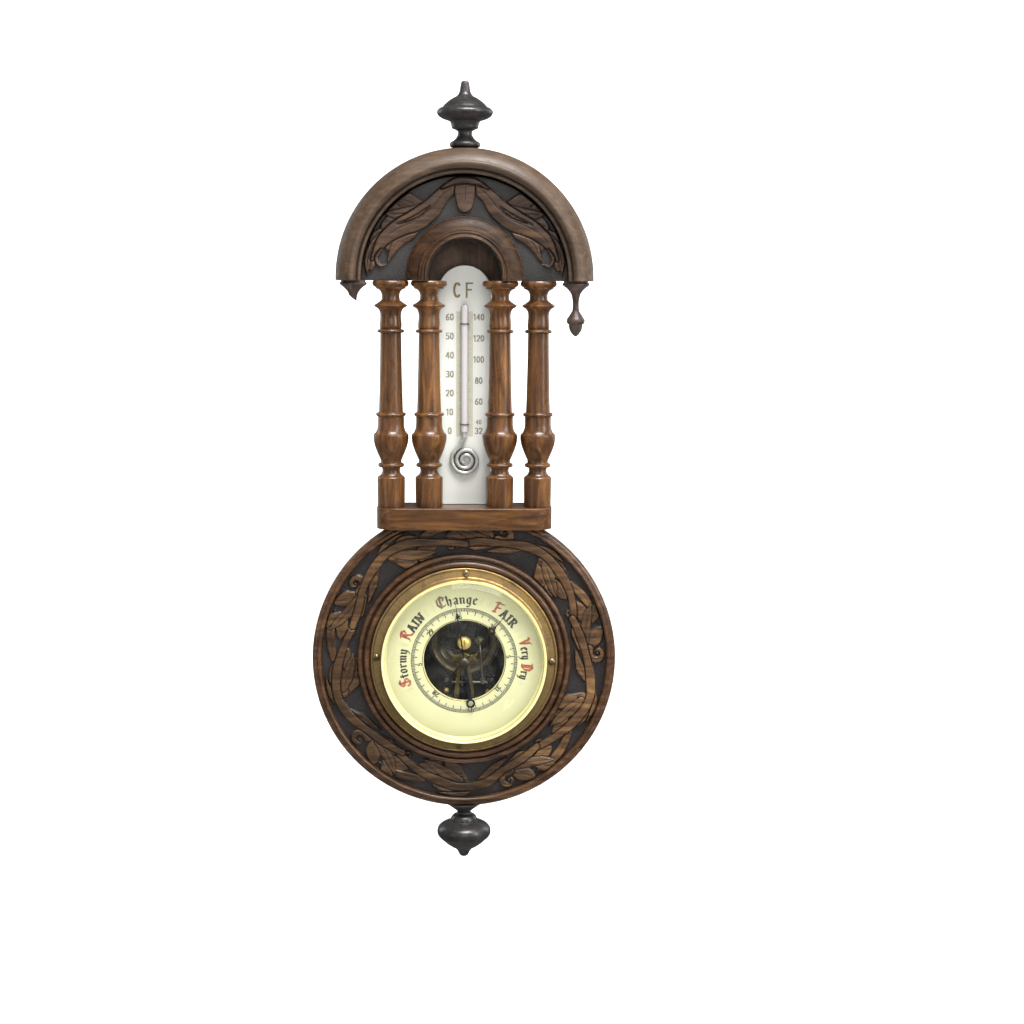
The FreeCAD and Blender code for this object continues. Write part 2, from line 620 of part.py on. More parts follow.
# ---------------------------------------------------------------- capsule and mainspring
def capsule_shell(mid, face):
    """Half the evacuated capsule: a corrugated diaphragm with a turned-in rim, thin enough to flex."""
    way = 1 if face > mid else -1
    waves, first, pitch, dip, wall = 4, 5.0, 4.4, 0.9, 0.5
    outside, inside = [(0, face), (first, face)], []
    for i in range(waves):
        start, end = first + i * pitch, first + (i + 1) * pitch
        middle = (start + end) / 2
        outside.append(("arc", (middle, face - way * dip), (end, face)))
        inside.insert(0, ("arc", (middle, face - way * (dip + wall)), (start, face - way * wall)))
    edge = first + waves * pitch
    rim = [("arc", (edge + 1.3, face - way * 0.6), (CAPSULE_R - 0.7, face - way * 1.9)),
           (CAPSULE_R - 0.7, mid + way * 0.6), (CAPSULE_R, mid + way * 0.6), (CAPSULE_R, mid),
           (CAPSULE_R - 1.4, mid), (CAPSULE_R - 1.4, face - way * 1.9), (edge, face - way * wall)]
    return turned_facing(outside + rim + inside + [(0, face - way * wall)], 0, CAPSULE_H)


def capsule_lower():
    """Rear half, with the foot that stands on the base plate and takes the adjusting screw."""
    shell = capsule_shell(CAPSULE_MID, CAPSULE_BACK)
    foot = ring(5.0, 2.05, BASE_FRONT, CAPSULE_BACK + 0.3, 0, CAPSULE_H)
    return fused([shell, foot])


def capsule_upper():
    return capsule_shell(CAPSULE_MID, CAPSULE_FRONT)


def capsule_post():
    """Post from the front diaphragm through the mainspring."""
    return fused([disc(3.4, CAPSULE_FRONT, CAPSULE_FRONT + 1.2, 0, CAPSULE_H),
                  disc(1.8, CAPSULE_FRONT, 22.4, 0, CAPSULE_H)])


def post_nut():
    """Domed brass nut on the post, with a driver slot."""
    under = SPRING_FACE + SPRING_T
    dome = turned_facing([(1.8, under), (4.7, under), (4.9, under + 0.8),
                          ("arc", (3.7, under + 3.3), (0, under + 4.5)), (0, 22.4), (1.8, 22.4)],
                         0, CAPSULE_H)
    slot = block(-0.4, 0.4, under + 3.7, under + 6, CAPSULE_H - 6, CAPSULE_H + 6)
    return dome.cut(slot)


def adjusting_screw():
    """Screw at the back that draws the capsule's foot and so shifts the indicating hand."""
    body = turned_facing([(0, 1.9), (2.7, 1.9), (2.7, BASE_BACK - 0.2), (2.0, BASE_BACK - 0.2), (2.0, 7.8),
                          (0, 7.8)], 0, CAPSULE_H)
    return body.cut(block(-4, 4, 1.0, 2.7, CAPSULE_H - 0.4, CAPSULE_H + 0.4))


def spring_screws_at():
    return [(-10.5, 41.6), (10.5, 41.6)]


def mainspring():
    """Broad steel leaf bent back on itself over its bracket; its upper leaf holds the capsule open."""
    t, back = SPRING_T, SPRING_FACE
    low_front = 10.4
    mid = (back + low_front) / 2
    outer_r, inner_r = (back + t - (low_front - t)) / 2, (back - low_front) / 2
    bend = BEND_HEIGHT
    profile = [(38.0, low_front - t), (bend, low_front - t), ("arc", (bend + outer_r, mid), (bend, back + t)),
               (SPRING_EDGE, back + t), (SPRING_EDGE, back), (bend, back),
               ("arc", (bend + inner_r, mid), (bend, low_front)), (38.0, low_front)]
    half = SPRING_W / 2
    face = face_of(profile, lambda height, depth: spot(-half, depth, height))
    leaf = face.extrude(Vector(SPRING_W, 0, 0))
    for side in (-1, 1):
        corner = Part.makeBox(12, 6, 12, Vector(-6, -3, -6))
        corner.rotate(Vector(0, 0, 0), Vector(0, 1, 0), 45)
        corner.translate(spot(side * (half + 2.5), back + 0.6, SPRING_EDGE - 2.5))
        leaf = leaf.cut(corner)
    leaf = leaf.cut(disc(1.8, 0, 40, 0, CAPSULE_H)).cut(disc(1.0, 15, 40, *LEVER_SEAT))
    for x, height in spring_screws_at():
        leaf = leaf.cut(disc(2.8, 12, 40, x, height)).cut(disc(1.22, 0, 12, x, height))
    return leaf


def spring_bracket():
    bracket = block(-SPRING_W / 2, SPRING_W / 2, BASE_FRONT, 9.2, 38.0, 49.0)
    for x, height in spring_screws_at():
        bracket = bracket.cut(disc(1.22, 0, 20, x, height))
    return bracket


def spring_screws():
    return Part.makeCompound([screw(x, h, 10.4, BASE_BACK + 0.2, 2.4, 1.2, 15 * x)
                              for x, h in spring_screws_at()])


# ---------------------------------------------------------------- lever, rocker and chain
LEVER_SEAT = (10.6, 12.8)  # x and height of the lever's eye on the mainspring
ROCKER_X = (-9.0, 16.5)    # inner faces of the rocker's two ears
CRANK_X = 13.2
ARM_X = -(PULLEY_R + CHAIN_R)


def lever_arm():
    """Wire lever with an eye at the mainspring and a bored tip over the rocker's crank."""
    x, height = LEVER_SEAT
    under = SPRING_FACE + SPRING_T
    eye = ring(2.8, 1.0, under, under + 1.1, x, height)
    tip = (CRANK_X, LEVER_D, ROCKER_HEIGHT + CRANK_R)
    wire = swept([(x + 0.4, under + 0.6, height - 2.3), (x + 0.7, LEVER_D - 0.6, height - 6),
                  (x + 1.3, LEVER_D, height - 14), (tip[0] - 0.3, LEVER_D, tip[2] + 4), tip], 0.65)
    boss = disc(1.4, LEVER_D - 0.8, LEVER_D + 0.8, tip[0], tip[2])
    return fused([eye, wire, boss]).cut(disc(1.0, 0, 40, x, height))


def lever_screw():
    x, height = LEVER_SEAT
    under = SPRING_FACE + SPRING_T + 1.1
    return screw(x, height, under, 17.2, 1.65, 0.98, 55)


def link_rod():
    """Thin rod hung from the lever's tip; its lower eye has room round the crank's pin."""
    height = ROCKER_HEIGHT + CRANK_R
    stem = disc(0.45, ROCKER_D + 1.3, LEVER_D - 0.8, CRANK_X, height)
    eye = Part.makeCylinder(1.5, 1.0, spot(CRANK_X - 0.5, ROCKER_D, height), Vector(1, 0, 0))
    bore = Part.makeCylinder(0.95, 3.0, spot(CRANK_X - 1.5, ROCKER_D, height), Vector(1, 0, 0))
    return fused([stem, eye]).cut(bore)


def rocker():
    """Cross arbor with a short crank towards the link and a long arm that draws the chain."""
    def along(radius, start, length, height=ROCKER_HEIGHT):
        return Part.makeCylinder(radius, length, spot(start, ROCKER_D, height), Vector(1, 0, 0))

    left, right = ROCKER_X
    gap = along(1.2, CRANK_X - 1.1, 2.2)
    arbor = along(0.9, left + 0.3, right - left - 0.6).cut(gap)
    pivots = along(0.45, left - 0.8, right - left + 1.6).cut(gap)
    neck = along(0.35, CRANK_X - 1.2, 2.4)
    pin = along(0.4, CRANK_X - 1.9, 3.8, ROCKER_HEIGHT + CRANK_R)
    cheeks = [block(x, x + 0.8, ROCKER_D - 0.7, ROCKER_D + 0.7, ROCKER_HEIGHT, ROCKER_HEIGHT + CRANK_R + 1.0)
              for x in (CRANK_X - 1.9, CRANK_X + 1.1)]
    arm = rod((ARM_X, ROCKER_D, ROCKER_HEIGHT), (ARM_X, CHAIN_D, ROCKER_HEIGHT), 0.6)
    hook = ball(ARM_X, CHAIN_D, ROCKER_HEIGHT, 0.8)
    return fused([arbor, neck, pivots, pin, arm, hook] + cheeks)


def ears_at():
    return (ROCKER_X[0] - 1.4, ROCKER_X[1])


def cock_screws_at():
    return [(-5.2, -29.4), (5.2, -29.4), (-12.3, ROCKER_HEIGHT + 0.7),
            (19.8, ROCKER_HEIGHT + 0.7)]


def rocker_bracket():
    """Two ears on feet, screwed to the base plate, that hold the rocker's pivots."""
    ears = []
    low, high = ROCKER_HEIGHT - 2.2, ROCKER_HEIGHT + 3.6
    for x, way in zip(ears_at(), (-1, 1)):
        ear = block(x, x + 1.4, BASE_FRONT, ROCKER_D + 2.4, low, high)
        near, far = sorted((x + 0.7, x + 0.7 + way * 5.4))
        foot = block(near, far, BASE_FRONT, BASE_FRONT + 1.2, low, high)
        bore = Part.makeCylinder(0.45 + SLIP, 6, spot(x - 2, ROCKER_D, ROCKER_HEIGHT), Vector(1, 0, 0))
        ears.append(fused([ear, foot]).cut(bore))
    pair = Part.makeCompound(ears)
    for x, height in cock_screws_at()[2:]:
        pair = pair.cut(disc(1.22, 0, 20, x, height))
    return pair


def fusee_chain():
    """Fine chain from the rocker's arm to the pulley, as overlapping links on edge."""
    links, count = [], 13
    low, high = ROCKER_HEIGHT + 1.3, 1.2
    pitch = (high - low) / count
    for i in range(count):
        centre = low + (i + 0.5) * pitch
        half = pitch * 0.62
        wide = 0.42 if i % 2 else 0.3
        links.append(block(ARM_X - CHAIN_R * 0.8, ARM_X + CHAIN_R * 0.8, CHAIN_D - wide, CHAIN_D + wide,
                           centre - half, centre + half))
    return fused(links)


# ---------------------------------------------------------------- arbor, hands
def bridge_posts_at():
    return [(-7.4, 0.6), (7.4, 0.6)]


def arbor_cock():
    """A-shaped brass cock: a cross arm at the arbor, two legs astride the rocker's arm, feet on the base."""
    arm = slab([(-8.4, -0.4), (-8.4, 1.6), (-3.2, 2.8), ("arc", (0, 3.9), (3.2, 2.8)), (8.4, 1.6),
                (8.4, -0.4), (3.6, -2.0), (-3.6, -2.0)], COCK_BACK, COCK_FRONT)
    legs = slab([(-3.6, -1.5), (3.6, -1.5), (7.0, -25.0), (7.0, -27.6), (3.4, -27.6), (3.4, -22.0),
                 (0.9, -8.0), (-2.6, -8.0), (-3.4, -22.0), (-3.4, -27.6), (-7.0, -27.6), (-7.0, -25.0)],
                COCK_BACK, COCK_FRONT)
    tab = block(-5.7, -3.0, COCK_BACK, COCK_FRONT, -5.7, -4.0)
    lugs = []
    for x in (-7.0, 3.4):
        lugs.append(block(x, x + 3.6, BASE_FRONT, COCK_FRONT, -27.6, -26.4))
        lugs.append(block(x, x + 3.6, BASE_FRONT, BASE_FRONT + 1.2, -31.6, -26.4))
    cock = fused([arm, legs, tab] + lugs).cut(disc(0.5 + SLIP, 0, 40))
    for x, height in cock_screws_at()[:2]:
        cock = cock.cut(disc(1.22, 0, 12, x, height))
    for x, height in bridge_posts_at():
        cock = cock.cut(disc(0.72, 0, 40, x, height))
    return cock


def cock_screws():
    return Part.makeCompound([screw(x, h, BASE_FRONT + 1.2, BASE_BACK + 0.2, 1.7, 1.2, 31 * i)
                              for i, (x, h) in enumerate(cock_screws_at())])


def bridge_posts():
    return Part.makeCompound([fused([disc(0.7, COCK_BACK, COCK_FRONT, x, h),
                                     disc(0.85, COCK_FRONT, BRIDGE_BACK, x, h)])
                              for x, h in bridge_posts_at()])


def upper_bridge():
    """Small bow-shaped bridge with forked ends that carries the arbor's front bearing."""
    half = [(0, -2.4), (2.6, -2.4), ("arc", (4.6, -1.4), (5.6, -0.4)), (7.6, -1.4), (9.0, -1.6), (8.6, -0.2),
            (8.0, 0.8), (8.8, 2.6), (9.2, 3.6), (8.0, 3.8), (6.2, 2.8), ("arc", (3.2, 3.2), (0, 4.4))]
    right = slab(half, BRIDGE_BACK, BRIDGE_FRONT)
    return fused([right, mirrored_x(right)]).cut(disc(0.5 + SLIP, 20, 40))


def hand_arbor():
    """Slim steel arbor between the cock and the bridge, with the hand's seat in front."""
    return fused([disc(0.5, COCK_BACK - 0.4, HAND_FRONT + 0.4),
                  disc(1.0, COCK_FRONT + 0.3, COCK_FRONT + 2.2),
                  disc(0.8, BRIDGE_FRONT + 0.4, HAND_BACK - 0.8)])


def chain_pulley():
    """Grooved pulley that the chain winds on."""
    groove, flange = PULLEY_R - 0.02, 1.75
    return turned_facing([(0.5, CHAIN_D - 0.9), (flange, CHAIN_D - 0.9), (flange, CHAIN_D - 0.65),
                          (groove, CHAIN_D - 0.65), (groove, CHAIN_D + 0.65), (flange, CHAIN_D + 0.65),
                          (flange, CHAIN_D + 0.9), (0.5, CHAIN_D + 0.9)])


def hairspring():
    """Flat spiral that keeps the chain taut."""
    turns, inner, outer, steps = 4, 1.35, 5.9, 64
    end_angle = math.radians(225)
    points = []
    for i in range(steps + 1):
        share = i / steps
        angle = end_angle - (1 - share) * turns * 2 * math.pi
        radius = inner + (outer - inner) * share
        points.append((radius * math.cos(angle), COCK_FRONT + 1.25, radius * math.sin(angle)))
    return swept(points, 0.14)


def hairspring_stud():
    """Stud on the cock that holds the hairspring's outer end."""
    place = -(5.9 + 0.14 + 0.62) * math.sqrt(0.5)
    return disc(0.6, COCK_FRONT, COCK_FRONT + 1.9, place, place)


def indicating_hand():
    """Blued steel hand with an arrow near its point and a ring on its tail."""
    point, arrow, tail = 40.6, 33.0, 32.0
    needle = slab([(-0.55, 1.5), (0.55, 1.5), (0.4, arrow - 3.4), (0.12, point), (-0.12, point),
                   (-0.4, arrow - 3.4)], HAND_BACK, HAND_FRONT)
    head = slab([(0, arrow + 2.6), (1.9, arrow - 3.2), ("arc", (0, arrow - 2.4), (-1.9, arrow - 3.2))],
                HAND_BACK, HAND_FRONT)
    tail_blade = slab([(-0.6, -1.5), (-1.6, -15.0), (-1.25, -27.9), (1.25, -27.9), (1.6, -15.0),
                       (0.6, -1.5)], HAND_BACK, HAND_FRONT)
    loop = ring(3.2, 1.9, HAND_BACK, HAND_FRONT, 0, -tail + 1.2)
    tip = slab([(-0.35, -tail - 1.7), (0.35, -tail - 1.7), (0.12, -tail - 6.6), (-0.12, -tail - 6.6)],
               HAND_BACK, HAND_FRONT)
    boss = disc(2.5, HAND_BACK - 0.6, HAND_FRONT)
    hand = fused([needle, head, tail_blade, loop, tip, boss]).cut(disc(0.5, 20, 40))
    hand.rotate(spot(0, 0, 0), Vector(0, 1, 0), HAND_ANGLE)
    return hand


def set_hand():
    """Brass hand that marks the last reading; its spindle passes through the glass."""
    point, blade = 41.5, 33.5
    needle = slab([(-0.45, 2.0), (0.45, 2.0), (0.35, blade - 7), (-0.35, blade - 7)], SET_BACK, SET_FRONT)
    spade = slab([(0, blade - 8.0), ("curve", (1.6, blade - 6.6), (3.0, blade - 3.4)),
                  ("curve", (1.3, blade - 2.4), (0.45, blade)), (0.12, point), (-0.12, point), (-0.45, blade),
                  ("curve", (-1.3, blade - 2.4), (-3.0, blade - 3.4)),
                  ("curve", (-1.6, blade - 6.6), (0, blade - 8.0))], SET_BACK, SET_FRONT)
    window = disc(0.95, 30, 34, 0, blade - 4.6)
    tail = slab([(-0.45, -1.5), (-0.8, -9.5), ("arc", (0, -11.4), (0.8, -9.5)), (0.45, -1.5)],
                SET_BACK, SET_FRONT)
    boss = disc(2.4, SET_BACK - 0.3, GLASS_BACK - 0.2)
    spindle = disc(SPINDLE_R, GLASS_BACK - 0.3, GLASS_FRONT + 0.6)
    hand = fused([needle, spade.cut(window), tail, boss, spindle])
    hand.rotate(spot(0, 0, 0), Vector(0, 1, 0), SET_HAND_ANGLE)
    return hand


def set_hand_knob():
    """Knurled knob in front of the glass."""
    back, front, radius = GLASS_FRONT + 0.3, GLASS_FRONT + 5.0, 3.7
    knob = turned_facing([(0, back + 0.3), (SPINDLE_R, back + 0.3), (SPINDLE_R, back), (2.6, back),
                          (radius - 0.3, back + 0.9), (radius, back + 1.3), (radius, front - 1.0),
                          ("arc", (2.2, front), (0.6, front + 0.2)), (0, front + 0.2)])
    count = 20
    for i in range(count):
        x, height = polar(radius + 0.16, 360 * i / count)
        knob = knob.cut(disc(0.34, back + 1.0, front - 0.9, x, height))
    return knob


# ---------------------------------------------------------------- node list
NODES = {
    "backboard": backboard, "tympanum_panel": tympanum_panel, "hood_moulding": hood_moulding,
    "niche_moulding": niche_moulding, "top_finial": top_finial, "bottom_finial": bottom_finial,
    "drop_right": drop_right, "drop_left": drop_left,
    "column_outer_left": lambda: column(-COLUMN_X[0], True),
    "column_inner_left": lambda: column(-COLUMN_X[1], False),
    "column_inner_right": lambda: column(COLUMN_X[1], False),
    "column_outer_right": lambda: column(COLUMN_X[0], True),
    "shelf": shelf, "round_case": round_case, "case_screws": case_screws,
    "hanging_plate": hanging_plate, "hanging_screws": hanging_screws,
    "scale_plate": scale_plate, "thermometer_tube": thermometer_tube, "mercury": mercury_body,
    "tube_clips": tube_clips,
    "drum": drum, "back_cover": back_cover, "back_screws": back_screws, "base_plate": base_plate,
    "base_rivets": base_rivets, "dial_pillars": dial_pillars, "dial_plate": dial_plate,
    "dial_face": dial_face, "sight_ring": sight_ring, "dial_glass": dial_glass, "bezel": bezel,
    "bezel_screws": bezel_screws,
    "capsule_lower": capsule_lower, "capsule_upper": capsule_upper, "capsule_post": capsule_post,
    "post_nut": post_nut, "adjusting_screw": adjusting_screw, "mainspring": mainspring,
    "spring_bracket": spring_bracket, "spring_screws": spring_screws,
    "lever_arm": lever_arm, "lever_screw": lever_screw, "link_rod": link_rod, "rocker": rocker,
    "rocker_bracket": rocker_bracket, "fusee_chain": fusee_chain, "arbor_cock": arbor_cock,
    "cock_screws": cock_screws, "bridge_posts": bridge_posts, "upper_bridge": upper_bridge,
    "hand_arbor": hand_arbor, "chain_pulley": chain_pulley, "hairspring": hairspring,
    "hairspring_stud": hairspring_stud, "indicating_hand": indicating_hand, "set_hand": set_hand,
    "set_hand_knob": set_hand_knob,
}


def main():
    os.makedirs("parts", exist_ok=True)
    for name, make in NODES.items():
        shape = make()
        if not shape.isValid():
            raise ValueError(f"{name} is not a valid shape")
        shape.exportStep(f"parts/{name}.step")


main()
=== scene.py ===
"""Looks for the wall barometer: carved and turned walnut, aged brass, enamel, opal glass and the movement."""

import cmath
import json
from math import cos, degrees, hypot, radians, sin, sqrt, tau

import bmesh
import bpy
import numpy as np
from mathutils import Matrix, Vector
from mathutils.geometry import convex_hull_2d


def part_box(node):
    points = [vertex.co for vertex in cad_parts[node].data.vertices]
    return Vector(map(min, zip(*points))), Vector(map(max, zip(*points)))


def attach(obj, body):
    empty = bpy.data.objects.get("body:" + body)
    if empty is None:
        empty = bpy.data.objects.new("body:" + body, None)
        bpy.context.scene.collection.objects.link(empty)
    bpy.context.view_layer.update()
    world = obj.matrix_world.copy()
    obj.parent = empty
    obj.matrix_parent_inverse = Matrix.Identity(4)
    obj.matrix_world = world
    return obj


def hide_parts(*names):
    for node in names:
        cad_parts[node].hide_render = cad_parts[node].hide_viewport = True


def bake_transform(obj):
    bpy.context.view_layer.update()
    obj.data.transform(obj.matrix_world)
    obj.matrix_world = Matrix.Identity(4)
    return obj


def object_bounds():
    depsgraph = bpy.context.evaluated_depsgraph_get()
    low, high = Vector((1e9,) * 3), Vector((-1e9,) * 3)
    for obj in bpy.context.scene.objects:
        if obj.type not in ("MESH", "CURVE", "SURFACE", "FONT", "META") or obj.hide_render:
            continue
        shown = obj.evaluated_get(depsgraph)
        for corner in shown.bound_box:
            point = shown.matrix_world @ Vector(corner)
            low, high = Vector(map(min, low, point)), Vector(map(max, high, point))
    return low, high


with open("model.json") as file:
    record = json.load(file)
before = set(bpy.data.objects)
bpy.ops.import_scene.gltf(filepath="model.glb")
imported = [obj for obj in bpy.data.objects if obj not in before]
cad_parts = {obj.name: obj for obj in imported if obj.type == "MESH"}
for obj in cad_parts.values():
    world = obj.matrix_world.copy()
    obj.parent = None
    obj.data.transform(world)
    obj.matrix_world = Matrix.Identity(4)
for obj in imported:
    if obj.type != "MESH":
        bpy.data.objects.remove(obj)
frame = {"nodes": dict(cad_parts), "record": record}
cad_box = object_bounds()
NODES = frame["nodes"]
MATERIALS = {}

MM = 0.001
bezel_low, bezel_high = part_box("bezel")
DIAL_Z = ((bezel_low + bezel_high) / 2).z                   # height of the dial's axis
HOOD_FOOT = (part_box("hood_moulding")[0].z - DIAL_Z) / MM    # underside of the hood above the axis


def place(x, depth, height):
    """A point from millimetres right, forward of the wall and above the dial's axis."""
    return (x * MM, -depth * MM, DIAL_Z + height * MM)


def front_of(node):
    """How far a CAD node's front stands from the wall, in millimetres."""
    return -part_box(node)[0].y / MM


def scaled(colour, factor, lift=0.0):
    return tuple(min(1, c * factor + lift) for c in colour)


# ---- shader building
class Shader:
    """A node tree for a material, or for the world, built from short calls that return sockets."""

    def __init__(self, name, world=None):
        if world is None:
            MATERIALS[name] = bpy.data.materials.new(name)
        owner = world or MATERIALS[name]
        owner.use_nodes = True
        self.tree = owner.node_tree
        self.tree.nodes.clear()
        self.output = self.node("OutputWorld" if world else "OutputMaterial")
        self.plain = self.coords()

    def node(self, kind, inputs=None, **settings):
        made = self.tree.nodes.new("ShaderNode" + kind)
        for key, value in settings.items():
            setattr(made, key, value)
        for key, value in (inputs or {}).items():
            self.feed(made.inputs[key], value)
        return made

    def feed(self, socket, value):
        if isinstance(value, bpy.types.NodeSocket):
            self.tree.links.new(value, socket)
        else:
            socket.default_value = (*value, 1) if socket.type == "RGBA" else value

    def surface(self, made):
        self.feed(self.output.inputs[0], made.outputs[0])

    def finish(self, **inputs):
        made = self.node("BsdfPrincipled")
        for key, value in inputs.items():
            self.feed(made.inputs[key.replace("_", " ")], value)
        self.surface(made)

    def coords(self, stretch=(1, 1, 1)):
        return self.node("Mapping", {0: self.node("TexCoord").outputs["Object"], 3: stretch}).outputs[0]

    def axis(self, vector, index):
        return self.node("SeparateXYZ", {0: vector}).outputs[index]

    def polar(self):
        """Distance from the dial's axis and angle round it, as sockets."""
        x = self.axis(self.plain, 0)
        height = self.plus(self.axis(self.plain, 2), -DIAL_Z)
        radius = self.math("SQRT", self.plus(self.times(x, x), self.times(height, height)))
        return radius, self.math("ARCTAN2", x, height)

    def noise(self, scale, detail=4.0, rough=0.5, distortion=0.0, along=None):
        return self.node("TexNoise", {"Vector": along or self.plain, "Scale": scale, "Detail": detail,
                                      "Roughness": rough, "Distortion": distortion}).outputs[0]

    def math(self, operation, a, b=0.0, clamp=False):
        return self.node("Math", {0: a, 1: b}, operation=operation, use_clamp=clamp).outputs[0]

    def times(self, a, b):
        return self.math("MULTIPLY", a, b)

    def plus(self, a, b):
        return self.math("ADD", a, b)

    def mix(self, fac, a, b, blend="MIX"):
        """Colours blended by fac, from a at 0 to b at 1."""
        return self.node("Mix", {0: fac, 6: a, 7: b}, data_type="RGBA", blend_type=blend).outputs[2]

    def blend(self, fac, a, b):
        """Shader nodes blended by fac."""
        return self.node("MixShader", {0: fac, 1: a.outputs[0], 2: b.outputs[0]})

    def remap(self, value, low, high, to_low=0.0, to_high=1.0):
        return self.node("MapRange", {0: value, 1: low, 2: high, 3: to_low, 4: to_high}).outputs[0]

    def bump(self, height, distance, strength, normal):
        return self.node("Bump", {"Height": height, "Distance": distance, "Strength": strength,
                                  "Normal": normal}).outputs[0]

    def edges(self, radius):
        """Rounded normal, and how far it turns from the flat one: 0 on open faces, rising at edges."""
        rounded = self.node("Bevel", {"Radius": radius}, samples=RAYS).outputs[0]
        flat = self.node("NewGeometry").outputs["Normal"]
        dot = self.node("VectorMath", {0: rounded, 1: flat}, operation="DOT_PRODUCT").outputs["Value"]
        return rounded, self.math("SUBTRACT", 1.0, dot, True)

    def cavity(self, distance):
        """1 in the open, falling in hollows and against neighbours."""
        return self.node("AmbientOcclusion", {"Distance": distance}, samples=RAYS).outputs["AO"]

    def attribute(self, name):
        return self.node("Attribute", attribute_name=name).outputs["Fac"]


RAYS = 6    # samples of the edge and cavity tests
GRAIN = {"x": (0.09, 1, 1), "z": (1, 1, 0.09)}    # the figure's stretch along each axis


def wood(name, palette, grain="z", rough=(0.34, 0.55), figure=150, wear=0.5, worn=None, dust=0.0,
         streak=0.5, ground=None, coat=0.12, shine=0.32, painted_side_light=0.0):
    """Old waxed wood: long figure, fine fibres, pores, blotches, worn edges, and grime with painted shade
    in the hollows and against neighbouring parts.

    A palette holds dark, middle and light tones. The grain runs along an axis. A carving's sunk ground has
    a colour and punch marks of its own. A painted side light paints shade on the lower left and light on the
    upper right, as if lit from the upper right.
    """
    dark, middle, light = palette
    s = Shader(name)
    long = s.coords(GRAIN[grain])
    fibres = s.noise(1500, 3, 0.6, along=long)
    level = s.plus(s.noise(figure, 5, 0.62, 1.4, long), s.times(fibres, 0.26))
    colour = s.mix(s.remap(level, 0.42, 0.62), dark, middle)
    colour = s.mix(s.remap(level, 0.62, 0.82), colour, light)
    shade = s.remap(s.noise(22, 4, 0.55, 0.6), 0.3, 0.7, 1 - streak * 0.5, 1 + streak * 0.42)
    # Painted light: colour darkens towards the lower left and lightens towards the upper right, as if lit
    # from there.
    if painted_side_light:
        slope = s.plus(s.axis(s.plain, 0), s.plus(s.axis(s.plain, 2), -DIAL_Z))
        shade = s.times(shade, s.remap(slope, -0.12, 0.12, 1 - painted_side_light, 1 + painted_side_light))
    colour = s.mix(1.0, colour, shade, "MULTIPLY")
    pores = s.remap(s.noise(2400, 2, along=long), 0.6, 0.68)
    colour = s.mix(s.times(pores, 0.42), colour, scaled(dark, 0.35))
    height = s.plus(s.times(fibres, 0.5), s.times(pores, -0.8))
    if ground:
        raised = s.attribute("carved")
        punched = s.node("TexVoronoi", {"Vector": s.plain, "Scale": 1150}).outputs["Distance"]
        floor = s.mix(s.remap(s.noise(60, 3), 0.3, 0.7), ground, scaled(ground, 1.55))
        floor = s.mix(s.remap(punched, 0.0, 0.5, 0.55, 0.0), floor, scaled(ground, 0.25))
        colour = s.mix(raised, floor, colour)
        # Painted shade: the carved outlines and the veins' grooves are darkened in colour.
        colour = s.mix(s.times(s.attribute("cut"), 0.62), colour, scaled(dark, 0.22))
        sunk = s.math("SUBTRACT", 1.0, raised, True)
        height = s.plus(height, s.times(s.times(punched, sunk), 3.2))
    rounded, edge = s.edges(0.0006)
    open_air = s.cavity(0.007)
    rubbed = s.times(s.remap(edge, 0.02, 0.22), s.remap(s.noise(260, 3), 0.35, 0.62, 0.15, 1.0))
    rubbed = s.times(s.times(rubbed, s.remap(open_air, 0.55, 0.85)), wear)
    colour = s.mix(rubbed, colour, worn or scaled(light, 1.5))
    # Grime and painted shade: darker in hollows and against neighbouring parts, found by occlusion.
    grime_and_shade = s.remap(open_air, 0.25, 0.8, 0.75, 0.0)
    colour = s.mix(grime_and_shade, colour, scaled(dark, 0.22))
    if dust:
        colour = s.mix(s.remap(s.noise(40, 5, 0.6), 0.35, 0.7, 0.0, dust), colour, (0.42, 0.36, 0.31))
    s.finish(Base_Color=colour, Roughness=s.remap(s.noise(90, 4, 0.6), 0.3, 0.7, *rough),
             Normal=s.bump(height, 0.00012, 0.55, rounded), Coat_Weight=coat, Coat_Roughness=0.28,
             Specular_IOR_Level=shine)


def brass(name, base, stain, rough=(0.22, 0.42), spun=False, patina=0.5, edge_gold=0.5, metal=1.0, reflection_lip=None):
    """Old brass: lacquer loss, brown stains, fine scratches that run round the dial when spun, bright edges.

    Within a given lip radius about the dial's axis, a painted reflection of the cream dial makes the brass
    pale yellow and barely metallic.
    """
    s = Shader(name)
    if spun:
        radius, angle = s.polar()
        turned = s.node("CombineXYZ", {0: s.times(radius, 2600), 1: s.times(angle, 1.3)}).outputs[0]
        lines = s.noise(1.0, 3, 0.6, along=turned)
    else:
        lines = s.noise(3000, 3, 0.6, along=s.coords((1, 1, 0.05)))
    cloud = s.noise(55, 5, 0.62, 0.8)
    spots = s.noise(420, 4, 0.6)
    stained = s.plus(s.times(cloud, 0.8), s.times(spots, 0.25))
    cover = s.remap(stained, 0.42, 0.64, 0.0, patina)
    rounded, edge = s.edges(0.0004)
    colour = s.mix(cover, base, stain)
    colour = s.mix(s.remap(edge, 0.02, 0.25, 0.0, edge_gold), colour, scaled(base, 1.35))
    # Patina and painted shade: darker in hollows and against neighbouring parts, found by occlusion.
    grime_and_shade = s.remap(s.cavity(0.004), 0.2, 0.75, 0.8, 0.0)
    colour = s.mix(grime_and_shade, colour, scaled(stain, 0.25))
    metallic = s.remap(cover, 0.0, 1.0, metal, metal * 0.72)
    # Painted reflection of the cream dial on the bezel's sloped lip.
    if reflection_lip:
        bright = s.remap(radius, reflection_lip, reflection_lip + 0.0003, 1.0, 0.0)
        colour = s.mix(bright, colour, (0.72, 0.65, 0.28))
        metallic = s.times(metallic, s.remap(bright, 0.0, 1.0, 1.0, 0.15))
    s.finish(Base_Color=colour, Metallic=metallic,
             Roughness=s.plus(s.remap(lines, 0.3, 0.7, *rough), s.times(cover, 0.16)),
             Normal=s.bump(s.plus(lines, s.times(spots, 0.4)), 0.00002, 0.5, rounded))


